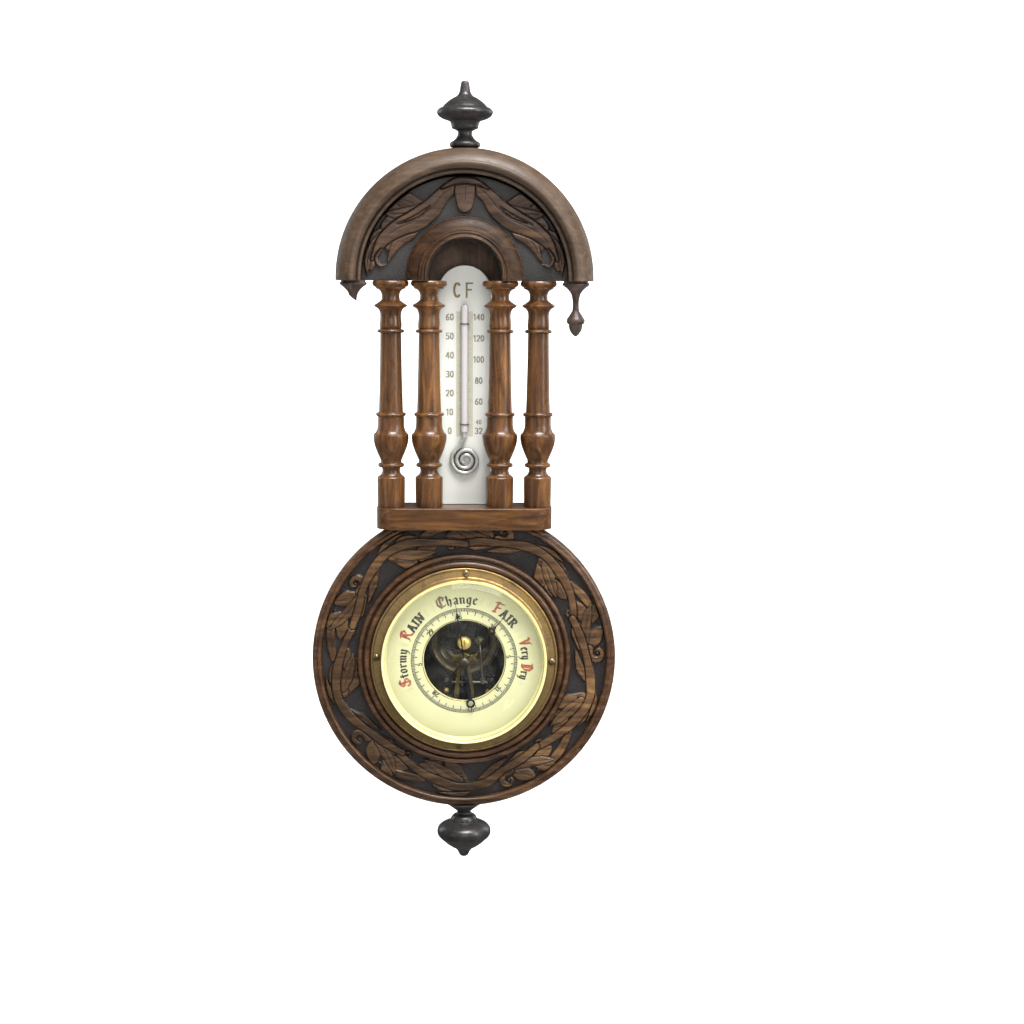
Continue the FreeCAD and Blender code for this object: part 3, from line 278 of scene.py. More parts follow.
def steel(name, base, stain, rough=(0.25, 0.45), rust=0.3, edge_light=0.4):
    """Drawn or filed steel with stains and brighter edges."""
    s = Shader(name)
    lines = s.noise(2800, 3, 0.6, along=s.coords((1, 1, 0.04)))
    cloud = s.noise(240, 5, 0.6, 0.5)
    rounded, edge = s.edges(0.00025)
    colour = s.mix(s.remap(cloud, 0.48, 0.66, 0.0, rust), base, stain)
    colour = s.mix(s.remap(edge, 0.02, 0.25, 0.0, edge_light), colour, scaled(base, 1.6, 0.05))
    s.finish(Base_Color=colour, Metallic=0.95, Roughness=s.remap(lines, 0.3, 0.7, *rough),
             Normal=s.bump(s.plus(lines, cloud), 0.000015, 0.6, rounded))


def enamel(name, colour, shade, rough, speckle, subsurface=0.0, opening=None):
    """Fired enamel or opal glass: cream body, faint clouding, foxed specks and a glossy skin.

    A dial has an opening; its enamel is darkened towards the rim, partly yellowing and partly painted shade
    from the bezel, and gilt inside the opening's radius.
    """
    s = Shader(name)
    cloud = s.noise(35, 4, 0.55, 0.4)
    body = s.mix(s.remap(cloud, 0.35, 0.7, 0.0, 0.6), colour, shade)
    specks = s.remap(s.noise(900, 3, 0.6), 0.7, 0.78)
    body = s.mix(s.times(specks, speckle), body, scaled(shade, 0.55))
    metallic = 0.0
    if opening:
        radius, _ = s.polar()
        # Yellowing and painted shade: darker towards the rim, under the bezel.
        body = s.mix(s.remap(radius, 0.046, 0.0565, 0.0, 0.35), body, scaled(shade, 0.62))
        golden = s.remap(radius, opening - 0.00005, opening + 0.00005, 1.0, 0.0)
        body = s.mix(golden, body, (0.46, 0.33, 0.09))
        metallic = s.times(golden, 0.7)
    rounded, _ = s.edges(0.0003)
    s.finish(Base_Color=body, Metallic=metallic, Roughness=s.remap(cloud, 0.3, 0.7, rough * 0.8, rough * 1.3),
             Normal=s.bump(s.noise(600, 3, 0.5), 0.00002, 0.35, rounded),
             Coat_Weight=0.35, Coat_Roughness=0.08, Subsurface_Weight=subsurface, Subsurface_Scale=0.002)


def print_ink(name, colour, faded, fade):
    """Transfer print, worn thin in places."""
    s = Shader(name)
    worn = s.remap(s.noise(700, 4, 0.65), 0.42, 0.68, 0.0, fade)
    s.finish(Base_Color=s.mix(worn, colour, faded), Roughness=0.42)


def clear_glass():
    """Clear glass that lets light through to what is behind it, with faint smears and dust."""
    s = Shader("clear_glass")
    smear = 0.2
    front = s.math("SUBTRACT", 1.0, s.node("NewGeometry").outputs["Backfacing"])
    mirror = s.times(s.node("Fresnel", {"IOR": 1.45}).outputs[0], front)
    haze = s.remap(s.noise(70, 5, 0.65, 1.0), 0.45, 0.75, 0.0, smear)
    gloss = s.node("BsdfGlossy", {"Color": (1, 1, 1), "Roughness": s.remap(haze, 0.0, smear, 0.02, 0.16)})
    through = s.node("BsdfTransparent", {"Color": (0.99, 1.0, 0.985)})
    dusty = s.node("BsdfDiffuse", {"Color": (0.8, 0.78, 0.72)})
    body = s.blend(mirror, s.blend(s.times(haze, 0.1), through, dusty), gloss)
    s.surface(s.blend(s.node("LightPath").outputs["Is Shadow Ray"], body, s.node("BsdfTransparent")))


def tube_glass():
    """Thermometer glass: a milky tube above, a silvered coil below, with painted shade at the tube's outline
    and between the coil's turns.
    """
    s = Shader("tube_glass")
    facing = s.node("LayerWeight", {"Blend": 0.3}).outputs["Facing"]
    silvered = s.remap(s.axis(s.plain, 2), DIAL_Z + 0.1555, DIAL_Z + 0.1575, 1.0, 0.0)
    # Painted shade: the milky tube darkens towards its outline, where it turns from view.
    milky_painted_edges = s.mix(s.remap(facing, 0.1, 0.9), (0.42, 0.395, 0.4), (0.16, 0.145, 0.14))
    silver = s.mix(s.remap(s.noise(300, 2), 0.3, 0.7), (0.42, 0.41, 0.38), (0.54, 0.53, 0.49))
    # Painted shade between the coil's turns, found by occlusion.
    silver = s.mix(s.remap(s.cavity(0.002), 0.55, 0.92), (0.05, 0.045, 0.038), silver)
    s.finish(Base_Color=s.mix(silvered, milky_painted_edges, silver), Metallic=s.times(silvered, 0.55),
             Roughness=s.remap(silvered, 0.0, 1.0, 0.1, 0.24), Coat_Weight=0.6, Coat_Roughness=0.05)


def quicksilver():
    s = Shader("mercury")
    ripple = s.noise(500, 2)
    s.finish(Base_Color=s.mix(ripple, (0.7, 0.7, 0.69), (0.86, 0.86, 0.84)), Metallic=0.8,
             Roughness=s.remap(ripple, 0.3, 0.7, 0.18, 0.32))


# Palettes of dark, middle and light tones.
WALNUT = (0.022, 0.009, 0.004), (0.055, 0.023, 0.009), (0.11, 0.05, 0.02)
SHADY = (0.02, 0.01, 0.006), (0.05, 0.025, 0.013), (0.1, 0.054, 0.029)
FADED = (0.03, 0.0155, 0.007), (0.049, 0.0265, 0.0125), (0.079, 0.0445, 0.0215)
SMOKED = (0.009, 0.0035, 0.0014), (0.025, 0.0104, 0.0035), (0.054, 0.025, 0.0095)
BLACK = (0.007, 0.006, 0.006), (0.014, 0.012, 0.012), (0.028, 0.025, 0.024)
DULL = (0.016, 0.009, 0.007), (0.038, 0.021, 0.016), (0.08, 0.048, 0.036)
WARM = (0.026, 0.0095, 0.0024), (0.072, 0.0275, 0.0065), (0.155, 0.065, 0.0165)
AMBER = (0.023, 0.0083, 0.0014), (0.06, 0.0218, 0.0038), (0.12, 0.049, 0.0095)
TURNED = (0.02, 0.0085, 0.0035), (0.052, 0.0225, 0.0085), (0.11, 0.053, 0.0215)
CARVED = (0.019, 0.0088, 0.0036), (0.064, 0.0315, 0.0118), (0.145, 0.078, 0.029)

wood("board_wood", WALNUT, rough=(0.55, 0.75), wear=0.25, dust=0.15, coat=0.0)
wood("carved_wood", SHADY, "x", wear=0.45, worn=(0.15, 0.09, 0.05), coat=0.15, streak=0.35,
     ground=(0.02, 0.018, 0.017))
wood("hood_wood", FADED, "x", rough=(0.42, 0.6), figure=200, wear=0.55, worn=(0.17, 0.11, 0.06), dust=0.05,
     coat=0.08, streak=0.16)
# On the niche arch the light edge wear is partly real wear and partly a painted highlight on the mouldings'
# rims.
wood("arch_wood", SMOKED, "x", rough=(0.42, 0.56), wear=1.5, worn=(0.36, 0.22, 0.12), coat=0.0, streak=0.25,
     shine=0.2)
wood("dark_wood", BLACK, rough=(0.26, 0.44), wear=0.35, worn=(0.06, 0.053, 0.05), dust=0.03, coat=0.35)
wood("drop_wood", DULL, wear=0.6, dust=0.08, coat=0.15)
wood("column_wood", WARM, rough=(0.24, 0.4), worn=(0.24, 0.115, 0.045), coat=0.35, streak=0.35)
wood("shelf_wood", AMBER, "x", rough=(0.28, 0.45), wear=0.6, worn=(0.26, 0.145, 0.065), coat=0.25, streak=0.3)
wood("case_wood", WALNUT, "x", rough=(0.28, 0.48), wear=0.55, coat=0.3)
wood("turned_wood", TURNED, "x", rough=(0.24, 0.4), wear=0.6, worn=(0.2, 0.125, 0.075), coat=0.4, streak=0.3)
# The band carries a painted side light: painted shade lower left, painted light upper right.
wood("band_wood", CARVED, "x", rough=(0.28, 0.44), worn=(0.2, 0.12, 0.06), coat=0.2, streak=0.7, painted_side_light=0.35,
     ground=(0.017, 0.013, 0.0125))
steel("screw_steel", (0.4, 0.38, 0.35), (0.16, 0.09, 0.05), rust=0.6)
steel("copper_wire", (0.1, 0.06, 0.045), (0.035, 0.02, 0.018), rust=0.6, edge_light=0.2)
steel("base_metal", (0.018, 0.018, 0.016), (0.032, 0.022, 0.014), (0.35, 0.6), rust=0.5, edge_light=0.3)
steel("movement_steel", (0.2, 0.19, 0.165), (0.09, 0.065, 0.04), (0.25, 0.42), rust=0.5)
steel("spring_steel", (0.055, 0.052, 0.047), (0.035, 0.03, 0.025), (0.22, 0.4), rust=0.4, edge_light=0.5)
steel("blued_steel", (0.03, 0.034, 0.06), (0.02, 0.02, 0.03), (0.18, 0.3), rust=0.2, edge_light=0.25)
brass("aged_brass", (0.55, 0.4, 0.17), (0.2, 0.12, 0.05), (0.35, 0.55), patina=0.7)
brass("case_brass", (0.5, 0.36, 0.15), (0.2, 0.12, 0.05), (0.35, 0.55), patina=0.7, spun=True)
brass("movement_brass", (0.32, 0.24, 0.085), (0.1, 0.065, 0.026), (0.2, 0.36), patina=0.8)
brass("nut_brass", (0.9, 0.66, 0.2), (0.5, 0.3, 0.1), (0.16, 0.28), patina=0.2, metal=0.6)
# Painted reflection: the sight ring is pale yellow and barely metallic, standing for the cream dial reflected
# in it.
brass("sight_brass", (0.8, 0.75, 0.38), (0.66, 0.56, 0.26), (0.14, 0.26), spun=True, patina=0.15,
      edge_gold=0.6, metal=0.2)
# The bezel's lip carries a painted reflection of the dial.
brass("bezel_brass", (0.45, 0.315, 0.13), (0.17, 0.11, 0.055), (0.36, 0.52), spun=True, patina=0.85,
      edge_gold=0.6, reflection_lip=0.0577)
brass("bezel_screw_brass", (0.3, 0.23, 0.13), (0.09, 0.065, 0.04), (0.3, 0.45), patina=0.6)
brass("capsule_alloy", (0.2, 0.165, 0.11), (0.09, 0.068, 0.045), (0.26, 0.42))
brass("hand_brass", (0.2, 0.15, 0.085), (0.08, 0.055, 0.03), (0.3, 0.45))
brass("knob_bronze", (0.1, 0.085, 0.065), (0.04, 0.032, 0.026), (0.3, 0.5), patina=0.6)
enamel("opal_glass", (0.6, 0.6, 0.56), (0.54, 0.545, 0.5), rough=0.16, speckle=0.1, subsurface=0.2)
enamel("dial_enamel", (0.495, 0.478, 0.288), (0.46, 0.438, 0.245), rough=0.22, speckle=0.25, opening=0.0295)
clear_glass()
tube_glass()
quicksilver()
print_ink("ink_black", (0.015, 0.013, 0.012), (0.22, 0.2, 0.12), 0.35)
print_ink("ink_red", (0.27, 0.045, 0.026), (0.42, 0.24, 0.14), 0.5)
print_ink("ink_brown", (0.1, 0.055, 0.04), (0.35, 0.25, 0.15), 0.5)
print_ink("ink_grey", (0.25, 0.25, 0.16), (0.42, 0.41, 0.25), 0.6)
print_ink("ink_olive", (0.15, 0.135, 0.085), (0.45, 0.43, 0.34), 0.5)
print_ink("ink_pale", (0.41, 0.385, 0.29), (0.51, 0.485, 0.4), 0.7)
print_ink("ink_gold", (0.15, 0.105, 0.045), (0.45, 0.36, 0.18), 0.4)

# CAD nodes whose finish differs from the rest of their slot.
OWN_FINISH = {"thermometer_tube": "tube_glass", "post_nut": "nut_brass", "base_rivets": "nut_brass",
              "rocker_bracket": "base_metal", "dial_plate": "sight_brass"}

SLOTS = {entry["node"]: entry["material_slot"] for entry in frame["record"]["subparts"]}

for node, slot in SLOTS.items():
    materials = NODES[node].data.materials
    materials.clear()
    materials.append(MATERIALS[OWN_FINISH.get(node, slot)])


# ---- meshes
def new_object(name, data):
    made = bpy.data.objects.new(name, data)
    bpy.context.scene.collection.objects.link(made)
    return made


def new_mesh(name, points, faces):
    mesh = bpy.data.meshes.new(name)
    mesh.from_pydata(points, [], faces)
    return mesh


def finish_piece(name, mesh, material, smooth_angle=35):
    """Makes a piece that rides on the case, shaded smooth up to an angle in degrees."""
    mesh.shade_smooth()
    mesh.set_sharp_from_angle(angle=radians(smooth_angle))
    mesh.materials.append(MATERIALS[material])
    made = new_object(name, mesh)
    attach(made, "case")
    return made


def stand_in(piece, node):
    """Hides the CAD node whose place a piece takes."""
    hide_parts(node)


def edit(mesh, change):
    """Runs a change on a mesh through a bmesh."""
    work = bmesh.new()
    work.from_mesh(mesh)
    change(work)
    work.to_mesh(mesh)
    work.free()


def face_outward(work):
    bmesh.ops.recalc_face_normals(work, faces=work.faces)


def slice_level(work, height, **options):
    """Splits every face at a height in metres."""
    everything = work.verts[:] + work.edges[:] + work.faces[:]
    bmesh.ops.bisect_plane(work, geom=everything, plane_co=(0, 0, height), **options)


def cut_level(mesh, height, keep):
    """Cuts a mesh at a height in metres, keeps the part above (1) or below (-1), and closes the cut."""
    def change(work):
        slice_level(work, height, dist=1e-8, plane_no=(0, 0, -keep), clear_outer=True)
        bmesh.ops.edgenet_fill(work, edges=[edge for edge in work.edges if edge.is_boundary])
        face_outward(work)

    edit(mesh, change)


def cut_pocket(mesh, low, high):
    """A new mesh with a square pocket cut out of a closed one; the pocket's corners are in metres."""
    low, high = Vector(low), Vector(high)
    block = bpy.data.meshes.new("pocket_tool")
    shape = Matrix.LocRotScale((low + high) / 2, None, high - low)
    edit(block, lambda work: bmesh.ops.create_cube(work, size=1.0, matrix=shape))
    body, tool = new_object("body", mesh), new_object("tool", block)
    pocket = body.modifiers.new("pocket", "BOOLEAN")
    pocket.operation = "DIFFERENCE"
    pocket.solver = "EXACT"
    pocket.object = tool
    cut = bpy.data.meshes.new_from_object(body.evaluated_get(bpy.context.evaluated_depsgraph_get()))
    for thing in (body, tool):
        bpy.data.objects.remove(thing)
    return cut


def row_points(x, depth, height):
    """Arrays of millimetres right, forward of the wall and above the dial's axis, as points in metres."""
    return np.stack([x * MM, -depth * MM, DIAL_Z + height * MM], axis=-1).reshape(-1, 3)


def grid_faces(rows, columns, closed=True):
    """Quads of a tube of points numbered row by row; closed joins the last row to the first."""
    i = np.arange(rows if closed else rows - 1)[:, None]
    j = np.arange(columns)[None, :]
    row, column = (i + 1) % rows, (j + 1) % columns
    corners = [i * columns + j, row * columns + j, row * columns + column, i * columns + column]
    return np.stack(corners, axis=-1).reshape(-1, 4)


def bow(cx, cy, rx, ry, start, end, steps=12):
    """Points along an ellipse's arc, with angles in degrees from the first axis towards the second."""
    return [(cx + rx * cos(radians(start + (end - start) * i / steps)),
             cy + ry * sin(radians(start + (end - start) * i / steps))) for i in range(steps + 1)]


def through(start, middle, end, steps=6):
    """Points after the start along the circle through three points."""
    a, b, c = complex(*start), complex(*middle), complex(*end)
    w = (c - a) / (b - a)
    centre = a + (b - a) * (w - abs(w) ** 2) / (2j * w.imag)
    turn = cmath.phase((c - centre) / (a - centre)) % tau - (tau if w.imag < 0 else 0)
    points = [centre + (a - centre) * cmath.rect(1, turn * k / steps) for k in range(1, steps + 1)]
    return [(p.real, p.imag) for p in points]


def outline(steps):
    """A list of points from corners and ("arc", middle, end) steps."""
    points = []
    for step in steps:
        if step[0] == "arc":
            points += through(points[-1], step[1], step[2])
        else:
            points.append(step)
    return points


def lathe(profile, segments):
    """Points in metres and faces of a closed (radius, depth) outline turned about the dial's axis."""
    ring = np.array(profile)
    angle = np.linspace(0, tau, segments, endpoint=False)[:, None]
    x, height = [turn(angle) * ring[None, :, 0] for turn in (np.sin, np.cos)]
    depth = np.broadcast_to(ring[None, :, 1], x.shape)
    return row_points(x, depth, height), grid_faces(segments, len(profile))


# ---- low-relief carving
def smoothstep(value, low, high):
    t = np.clip((value - low) / (high - low), 0, 1)
    return t * t * (3 - 2 * t)


def curve_through(points, steps=5):
    """A smooth line through control points, as an array."""
    p = np.array([points[0], *points, points[-1]], dtype=float)
    t = np.arange(steps)[:, None] / steps
    made = [0.5 * (2 * p[k] + (p[k + 1] - p[k - 1]) * t
                   + (2 * p[k - 1] - 5 * p[k] + 4 * p[k + 1] - p[k + 2]) * t * t
                   + (3 * p[k] - p[k - 1] - 3 * p[k + 1] + p[k + 2]) * t ** 3) for k in range(1, len(p) - 2)]
    return np.concatenate([*made, p[-2:-1]])


class Relief:
    """Heights over a sheet of points, built up leaf by leaf: 0 is the sunk ground, 1 the full relief.

    Each stroke is a tapered blade along a curve. Where it crosses earlier work it cuts an outline into it.
    Lengths are in millimetres. A sheet that closes on itself repeats after a length.
    """

    RIB, MOAT = 0.42, 0.34    # half-widths of the rib's groove and of the cut round a stroke

    def __init__(self, across, up, repeat=None):
        self.x = across
        self.y = up
        self.repeat = repeat
        self.height = np.zeros_like(across)
        self.cut = np.zeros_like(across)

    def stroke(self, path, widths, top, dome=0.12, tilt=0.0, rib=0.0, outline=0.75):
        line = curve_through(path)
        half = np.interp(np.linspace(0, 1, len(line)), np.linspace(0, 1, len(widths)), widths) / 2
        x = self.x
        if self.repeat:
            middle = line[:, 0].mean()
            x = (self.x - middle + self.repeat / 2) % self.repeat - self.repeat / 2 + middle
        pad = half.max() + 1.5
        low, high = line.min(axis=0) - pad, line.max(axis=0) + pad
        near = (x > low[0]) & (x < high[0]) & (self.y > low[1]) & (self.y < high[1])
        px, py = x[near], self.y[near]
        outside = np.full(px.shape, 1e9)
        side, width, along = np.zeros_like(px), np.ones_like(px), np.zeros_like(px)
        for k in range(len(line) - 1):
            dx, dy = line[k + 1] - line[k]
            length = dx * dx + dy * dy + 1e-9
            ex, ey = px - line[k, 0], py - line[k, 1]
            t = np.clip((ex * dx + ey * dy) / length, 0, 1)
            ex, ey = ex - t * dx, ey - t * dy
            w = half[k] + (half[k + 1] - half[k]) * t
            score = np.hypot(ex, ey) - w
            closer = score < outside
            outside = np.where(closer, score, outside)
            side = np.where(closer, (dx * ey - dy * ex) / sqrt(length), side)
            width = np.where(closer, np.maximum(w, 0.2), width)
            along = np.where(closer, (k + t) / (len(line) - 1), along)
        lean = np.clip(side / width, -1, 1)
        body = top * (1 - dome * lean ** 2) + tilt * lean
        groove = rib * np.exp(-(side / self.RIB) ** 2)
        groove *= smoothstep(along, 0.05, 0.2) * smoothstep(1 - along, 0.08, 0.3)
        body = (body - 0.45 * groove) * smoothstep(-outside, 0.0, 0.5)
        here = smoothstep(-outside, -0.05, 0.3)
        old, old_cut = self.height[near], self.cut[near]
        moat = np.exp(-((outside - 0.12) / self.MOAT) ** 2) * smoothstep(old, 0.1, 0.4)
        trench = outline * moat * (1 - here)
        self.height[near] = old * (1 - trench) * (1 - here) + body * here
        self.cut[near] = np.maximum(old_cut * (1 - here), np.maximum(trench, groove * here))

    def leaf(self, root, tip, bend, width, teeth, top):
        """A broad leaf: pointed lobes along both edges, then the ribbed middle; bend bows it sideways."""
        root, tip = np.array(root, float), np.array(tip, float)
        run = tip - root
        forward = run / hypot(*run)
        left = np.array([-forward[1], forward[0]])
        spine = [root, root + run * 0.33 + left * bend, root + run * 0.7 + left * bend * 0.9, tip]
        line = curve_through(spine)
        for k in reversed(range(teeth)):
            share = 0.08 + 0.58 * k / max(1, teeth - 1)
            at = line[int(share * (len(line) - 1))]
            size = width * (1 - 0.3 * share)
            for hand in (-1, 1):
                out = forward * 0.8 + left * hand * 0.6
                start = at - forward * size * 0.25
                middle = at + out * size * 0.48 + left * hand * size * 0.12
                point = at + out * size * 1.18 + forward * size * 0.1
                self.stroke([start, middle, middle * 0.45 + point * 0.55, point],
                            [size * 0.6, size * 0.86, size * 0.56, 0.2],
                            top=top - 0.03 * (k % 2), dome=0.16, tilt=0.12 * hand, rib=0.25, outline=0.3)
        widths = [width * 0.42, width * 0.58, width * 0.46, 0.3]
        self.stroke(spine, widths, top=top + 0.05, dome=0.14, rib=0.6, outline=0.28)

    def curl(self, eye, radius, start, turn, width, top):
        """A leaf end rolled into a spiral round a sunk eye; angles in degrees."""
        points = []
        for t in np.linspace(0, 1, 9):
            angle = radians(start + turn * t)
            r = radius * (1 - 0.8 * t)
            points.append((eye[0] + r * cos(angle), eye[1] + r * sin(angle)))
        self.stroke(points, [width, width * 0.38], top=top, dome=0.25, rib=0.25, outline=0.6)
        boss = radius * 0.34
        self.stroke([eye, (eye[0] + 0.01, eye[1])], [boss, boss], top=top + 0.1, dome=0.6, outline=0.6)


def carved_sheet(name, material, x, depth, height, back, closed, relief, margin, level, keep):
    """A closed slab from grids of points on its carved front, flat behind, cut level at one height.

    The first and last columns of the grid are its long edges. Distances are in millimetres.
    """
    rows, columns = x.shape
    x, depth, height = [np.concatenate([grid, grid[:, [-1, 0]]], axis=1) for grid in (x, depth, height)]
    depth[:, columns:] = back
    mesh = new_mesh(name, row_points(x, depth, height), grid_faces(rows, columns + 2, closed))
    carved = smoothstep(relief.height * margin, 0.12, 0.5)
    for attribute, values in (("carved", carved), ("cut", relief.cut * margin)):
        everywhere = np.pad(values, ((0, 0), (0, 2))).ravel().astype(np.float32)
        mesh.attributes.new(attribute, "FLOAT", "POINT").data.foreach_set("value", everywhere)
    cut_level(mesh, DIAL_Z + level * MM, keep)
    return finish_piece(name, mesh, material, smooth_angle=60)


def carve_band(relief, length):
    """A running scroll round the case: broad flat leaves and curls, with a strap that wanders over them."""
    units = 5
    pitch = length / units
    jogs = np.random.default_rng(11).uniform(-1, 1, (units, 24))

    def placed(unit):
        def at(u, v, k=0):
            return (unit * pitch + u * pitch / 92 + jogs[unit, k] * 1.6, v + jogs[unit, k + 1] * 0.6)
        return at, 1.6 * jogs[unit, 20]

    for unit in range(units):
        at, sway = placed(unit)
        relief.leaf(at(14, -2, 1), at(-7, 9.8, 2), 2.2, 13.5, 2, 0.78)
        relief.leaf(at(50, 1, 5), at(73, -9.6, 6), -2.6 + sway, 14.5, 2, 0.8)
        relief.stroke([at(36, 3, 3), at(28, -5, 4), at(15, -9.6, 3)], [6, 6.5, 0.4], top=0.74,
                      tilt=0.1, rib=0.3)
        relief.stroke([at(70, 4, 2), at(82, 8.2, 3), at(97, 9.2, 4)], [5.5, 6.8, 0.4], top=0.76,
                      tilt=-0.1, rib=0.3)
        relief.stroke([at(41, 6, 7), at(49, 10.4, 5), at(60, 10.8, 6)], [4, 4.6, 0.4], top=0.72)
        relief.curl(at(21, 6.2, 8), 6.2, -120, 350, 5.6, 0.86)
        relief.curl(at(84, -6.4, 9), 4.6, 140, -330, 4.4, 0.84)
    for unit in range(units):
        at, sway = placed(unit)
        relief.stroke([at(-3, -6.5), at(10, -5 + sway, 10), at(23, -1.5, 11), at(35, 3.5, 12),
                       at(48, 5.5, 13), at(61, 3, 14), at(75, -2 + sway, 15), at(92, -6.5)],
                      [5, 6, 5.2, 7, 6, 6.8, 5.4, 5], top=0.94, tilt=0.06, outline=0.6)


def build_case():
    """The round case: its mouldings and rim as one turning, the leaf band as a carved ring in a channel."""
    flat = (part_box("round_case")[1].z - DIAL_Z) / MM    # height of the flat that the shelf stands on
    bed = 19.0    # depth of the channel's floor
    profile = outline([
        (59.5, 0), (59.5, 27), (66.4, 27), (66.4, 27.8), ("arc", (68.2, 29.4), (70.2, 27.4)), (70.4, 25.4),
        (71, 25.2), ("arc", (73.2, 26.9), (75, 24.2)), (75, 23), (75.2, bed), (100.3, bed), (100.5, 23),
        (100.7, 23.4), ("arc", (102, 25), (103.4, 23.8)), (103.7, 23.4), ("arc", (105.9, 22.8), (107, 20)),
        (107, 14), (106.2, 13.4), ("arc", (103.8, 11.6), (103, 8)), (103, 2), (101, 0)])
    turning = new_mesh("case_turning", *lathe(profile, 360))
    cut_level(turning, DIAL_Z + flat * MM, -1)
    wide, deep, foot = 36.0 / 2 + 0.1, 8.1, 69.9    # the backboard's foot, with play
    turning = cut_pocket(turning, place(-wide, deep, foot), place(wide, -1.0, flat + 1.0))
    stand_in(finish_piece("case_turning", turning, "turned_wood"), "round_case")

    inner, outer, ground, relief_high = 75.05, 100.45, 20.6, 2.3
    rows, columns = 1200, 70
    middle = (inner + outer) / 2
    angle = np.linspace(0, tau, rows, endpoint=False)[:, None]
    radius = np.linspace(inner, outer, columns)[None, :]
    across, up = np.broadcast_arrays(angle * middle, radius - middle)
    relief = Relief(across, up, repeat=tau * middle)
    carve_band(relief, relief.repeat)
    margin = smoothstep(radius - inner, 0.0, 0.7) * smoothstep(outer - radius, 0.0, 0.7)
    chatter = 0.05 * np.sin(across * 2.1 + 3 * np.sin(up * 0.9)) * np.sin(up * 2.7 + across * 0.31)
    depth = ground + relief_high * np.clip(relief.height, 0, 1.04) * margin + chatter * (1 - relief.height)
    piece = carved_sheet("case_carving", "band_wood", radius * np.sin(angle), depth, radius * np.cos(angle),
                         bed - 1.0, True, relief, margin, flat, -1)
    stand_in(piece, "round_case")


def carve_tympanum(relief):
    """Two long leaves falling from a knot at the crown, each with lobes and a tail along the rim."""
    for hand in (1, -1):
        def at(*points):
            return [(hand * x, y) for x, y in points]

        relief.leaf(*at((53, 33), (66.5, 3)), 5.0 * hand, 10, 2, 0.78)
        relief.leaf(*at((31, 48), (55, 45.5)), -1.5 * hand, 15, 2, 0.76)
        relief.stroke(at((30, 44), (38, 33), (46, 26), (53, 12)), [9, 11, 8.5, 0.4],
                      top=0.76, dome=0.2, tilt=0.1 * hand, rib=0.3, outline=0.4)
        spine = at((-3, 65), (8, 63.5), (16, 57), (23, 48.5), (33, 41), (45, 35.5), (56, 27), (63.5, 14))
        widths = [5, 10, 10.5, 14, 15, 12, 8.5, 2]
        relief.stroke(spine, widths, top=0.92, dome=0.2, tilt=0.12 * hand, rib=0.45)
        relief.stroke(at((24, 50), (33, 43.5), (46, 38)), [0.8, 2.2, 0.4], top=0.97, dome=0.3, outline=0.4)
        relief.stroke(at((57, 21), (60.5, 15), (58, 10), (53.5, 11)), [1.5, 3, 2.6, 0.6], top=0.84, dome=0.4)
    relief.stroke([(0, 68), (0, 60), (0, 51.5)], [13, 14.5, 11], top=0.84, rib=0.3)
    relief.stroke([(-16, 62.5), (-6, 67.6), (6, 67.6), (16, 62.5)], [1, 5, 5, 1], top=0.96, dome=0.35)


def build_tympanum():
    """The carved panel under the hood, bored through by the niche."""
    low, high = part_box("tympanum_panel")
    inner, rim, drop = 25.0, 70.9, 1.9    # radii of niche and hood, and how far the hood's centre is lower
    arch = HOOD_FOOT + drop
    ground, relief_high = 27.2, 2.8
    rows, columns = 520, 92
    angle = np.linspace(radians(-12), radians(192), rows)[:, None]
    sine, cosine = np.sin(angle), np.cos(angle)
    outer = -drop * sine + np.sqrt(rim ** 2 - (drop * cosine) ** 2)
    radius = inner + (outer - inner) * np.linspace(0, 1, columns)[None, :]
    x, height = radius * cosine, arch + radius * sine
    relief = Relief(x, height - HOOD_FOOT)
    carve_tympanum(relief)
    margin = smoothstep(outer - radius, 0.0, 0.6) * smoothstep(radius, 39.0, 40.5)
    depth = ground + relief_high * np.clip(relief.height, 0, 1.0) * margin
    foot = (low.z - DIAL_Z) / MM
    piece = carved_sheet("tympanum_carving", "carved_wood", x, depth, height, -high.y / MM, False, relief,
                         margin, foot, 1)
    stand_in(piece, "tympanum_panel")


# ---- printing: a broad nib on enamel
# A glyph is its strokes, each a run of points, and its width, for a body one unit high. In the two tables of
# letters, points are x,y in hundredths and a slash lifts the pen. SMALL also holds the small capitals.
FIGURES = {
    "0": ([bow(.31, .5, .24, .46, 90, 450, 14)], 0.62),
    "1": ([[(.06, .8), (.24, .96), (.24, .04)]], 0.42),
    "2": ([bow(.31, .7, .23, .26, 165, -40, 8) + [(.08, .04), (.56, .04)]], 0.62),
    "3": ([bow(.29, .73, .22, .23, 150, -90, 8), bow(.29, .27, .25, .24, 90, -150, 8)], 0.62),
    "4": ([[(.46, .04), (.46, .96), (.06, .3), (.6, .3)]], 0.66),
    "5": ([[(.53, .96), (.14, .96), (.11, .56)] + bow(.29, .31, .25, .28, 120, -150, 9)], 0.62),
    "6": ([bow(.31, .28, .23, .25, 0, 360), [(.5, .95), (.24, .8), (.1, .5), (.09, .28)]], 0.62),
    "8": ([bow(.31, .73, .19, .22, 0, 360), bow(.31, .27, .24, .24, 0, 360)], 0.62),
    "9": ([bow(.31, .72, .23, .25, 0, 360), [(.54, .72), (.5, .4), (.36, .16), (.12, .05)]], 0.62),
    "C": ([bow(.33, .5, .25, .47, 48, 312)], 0.62),
    "F": ([[(.1, .02), (.1, .97), (.54, .97)], [(.1, .52), (.44, .52)]], 0.62),
}

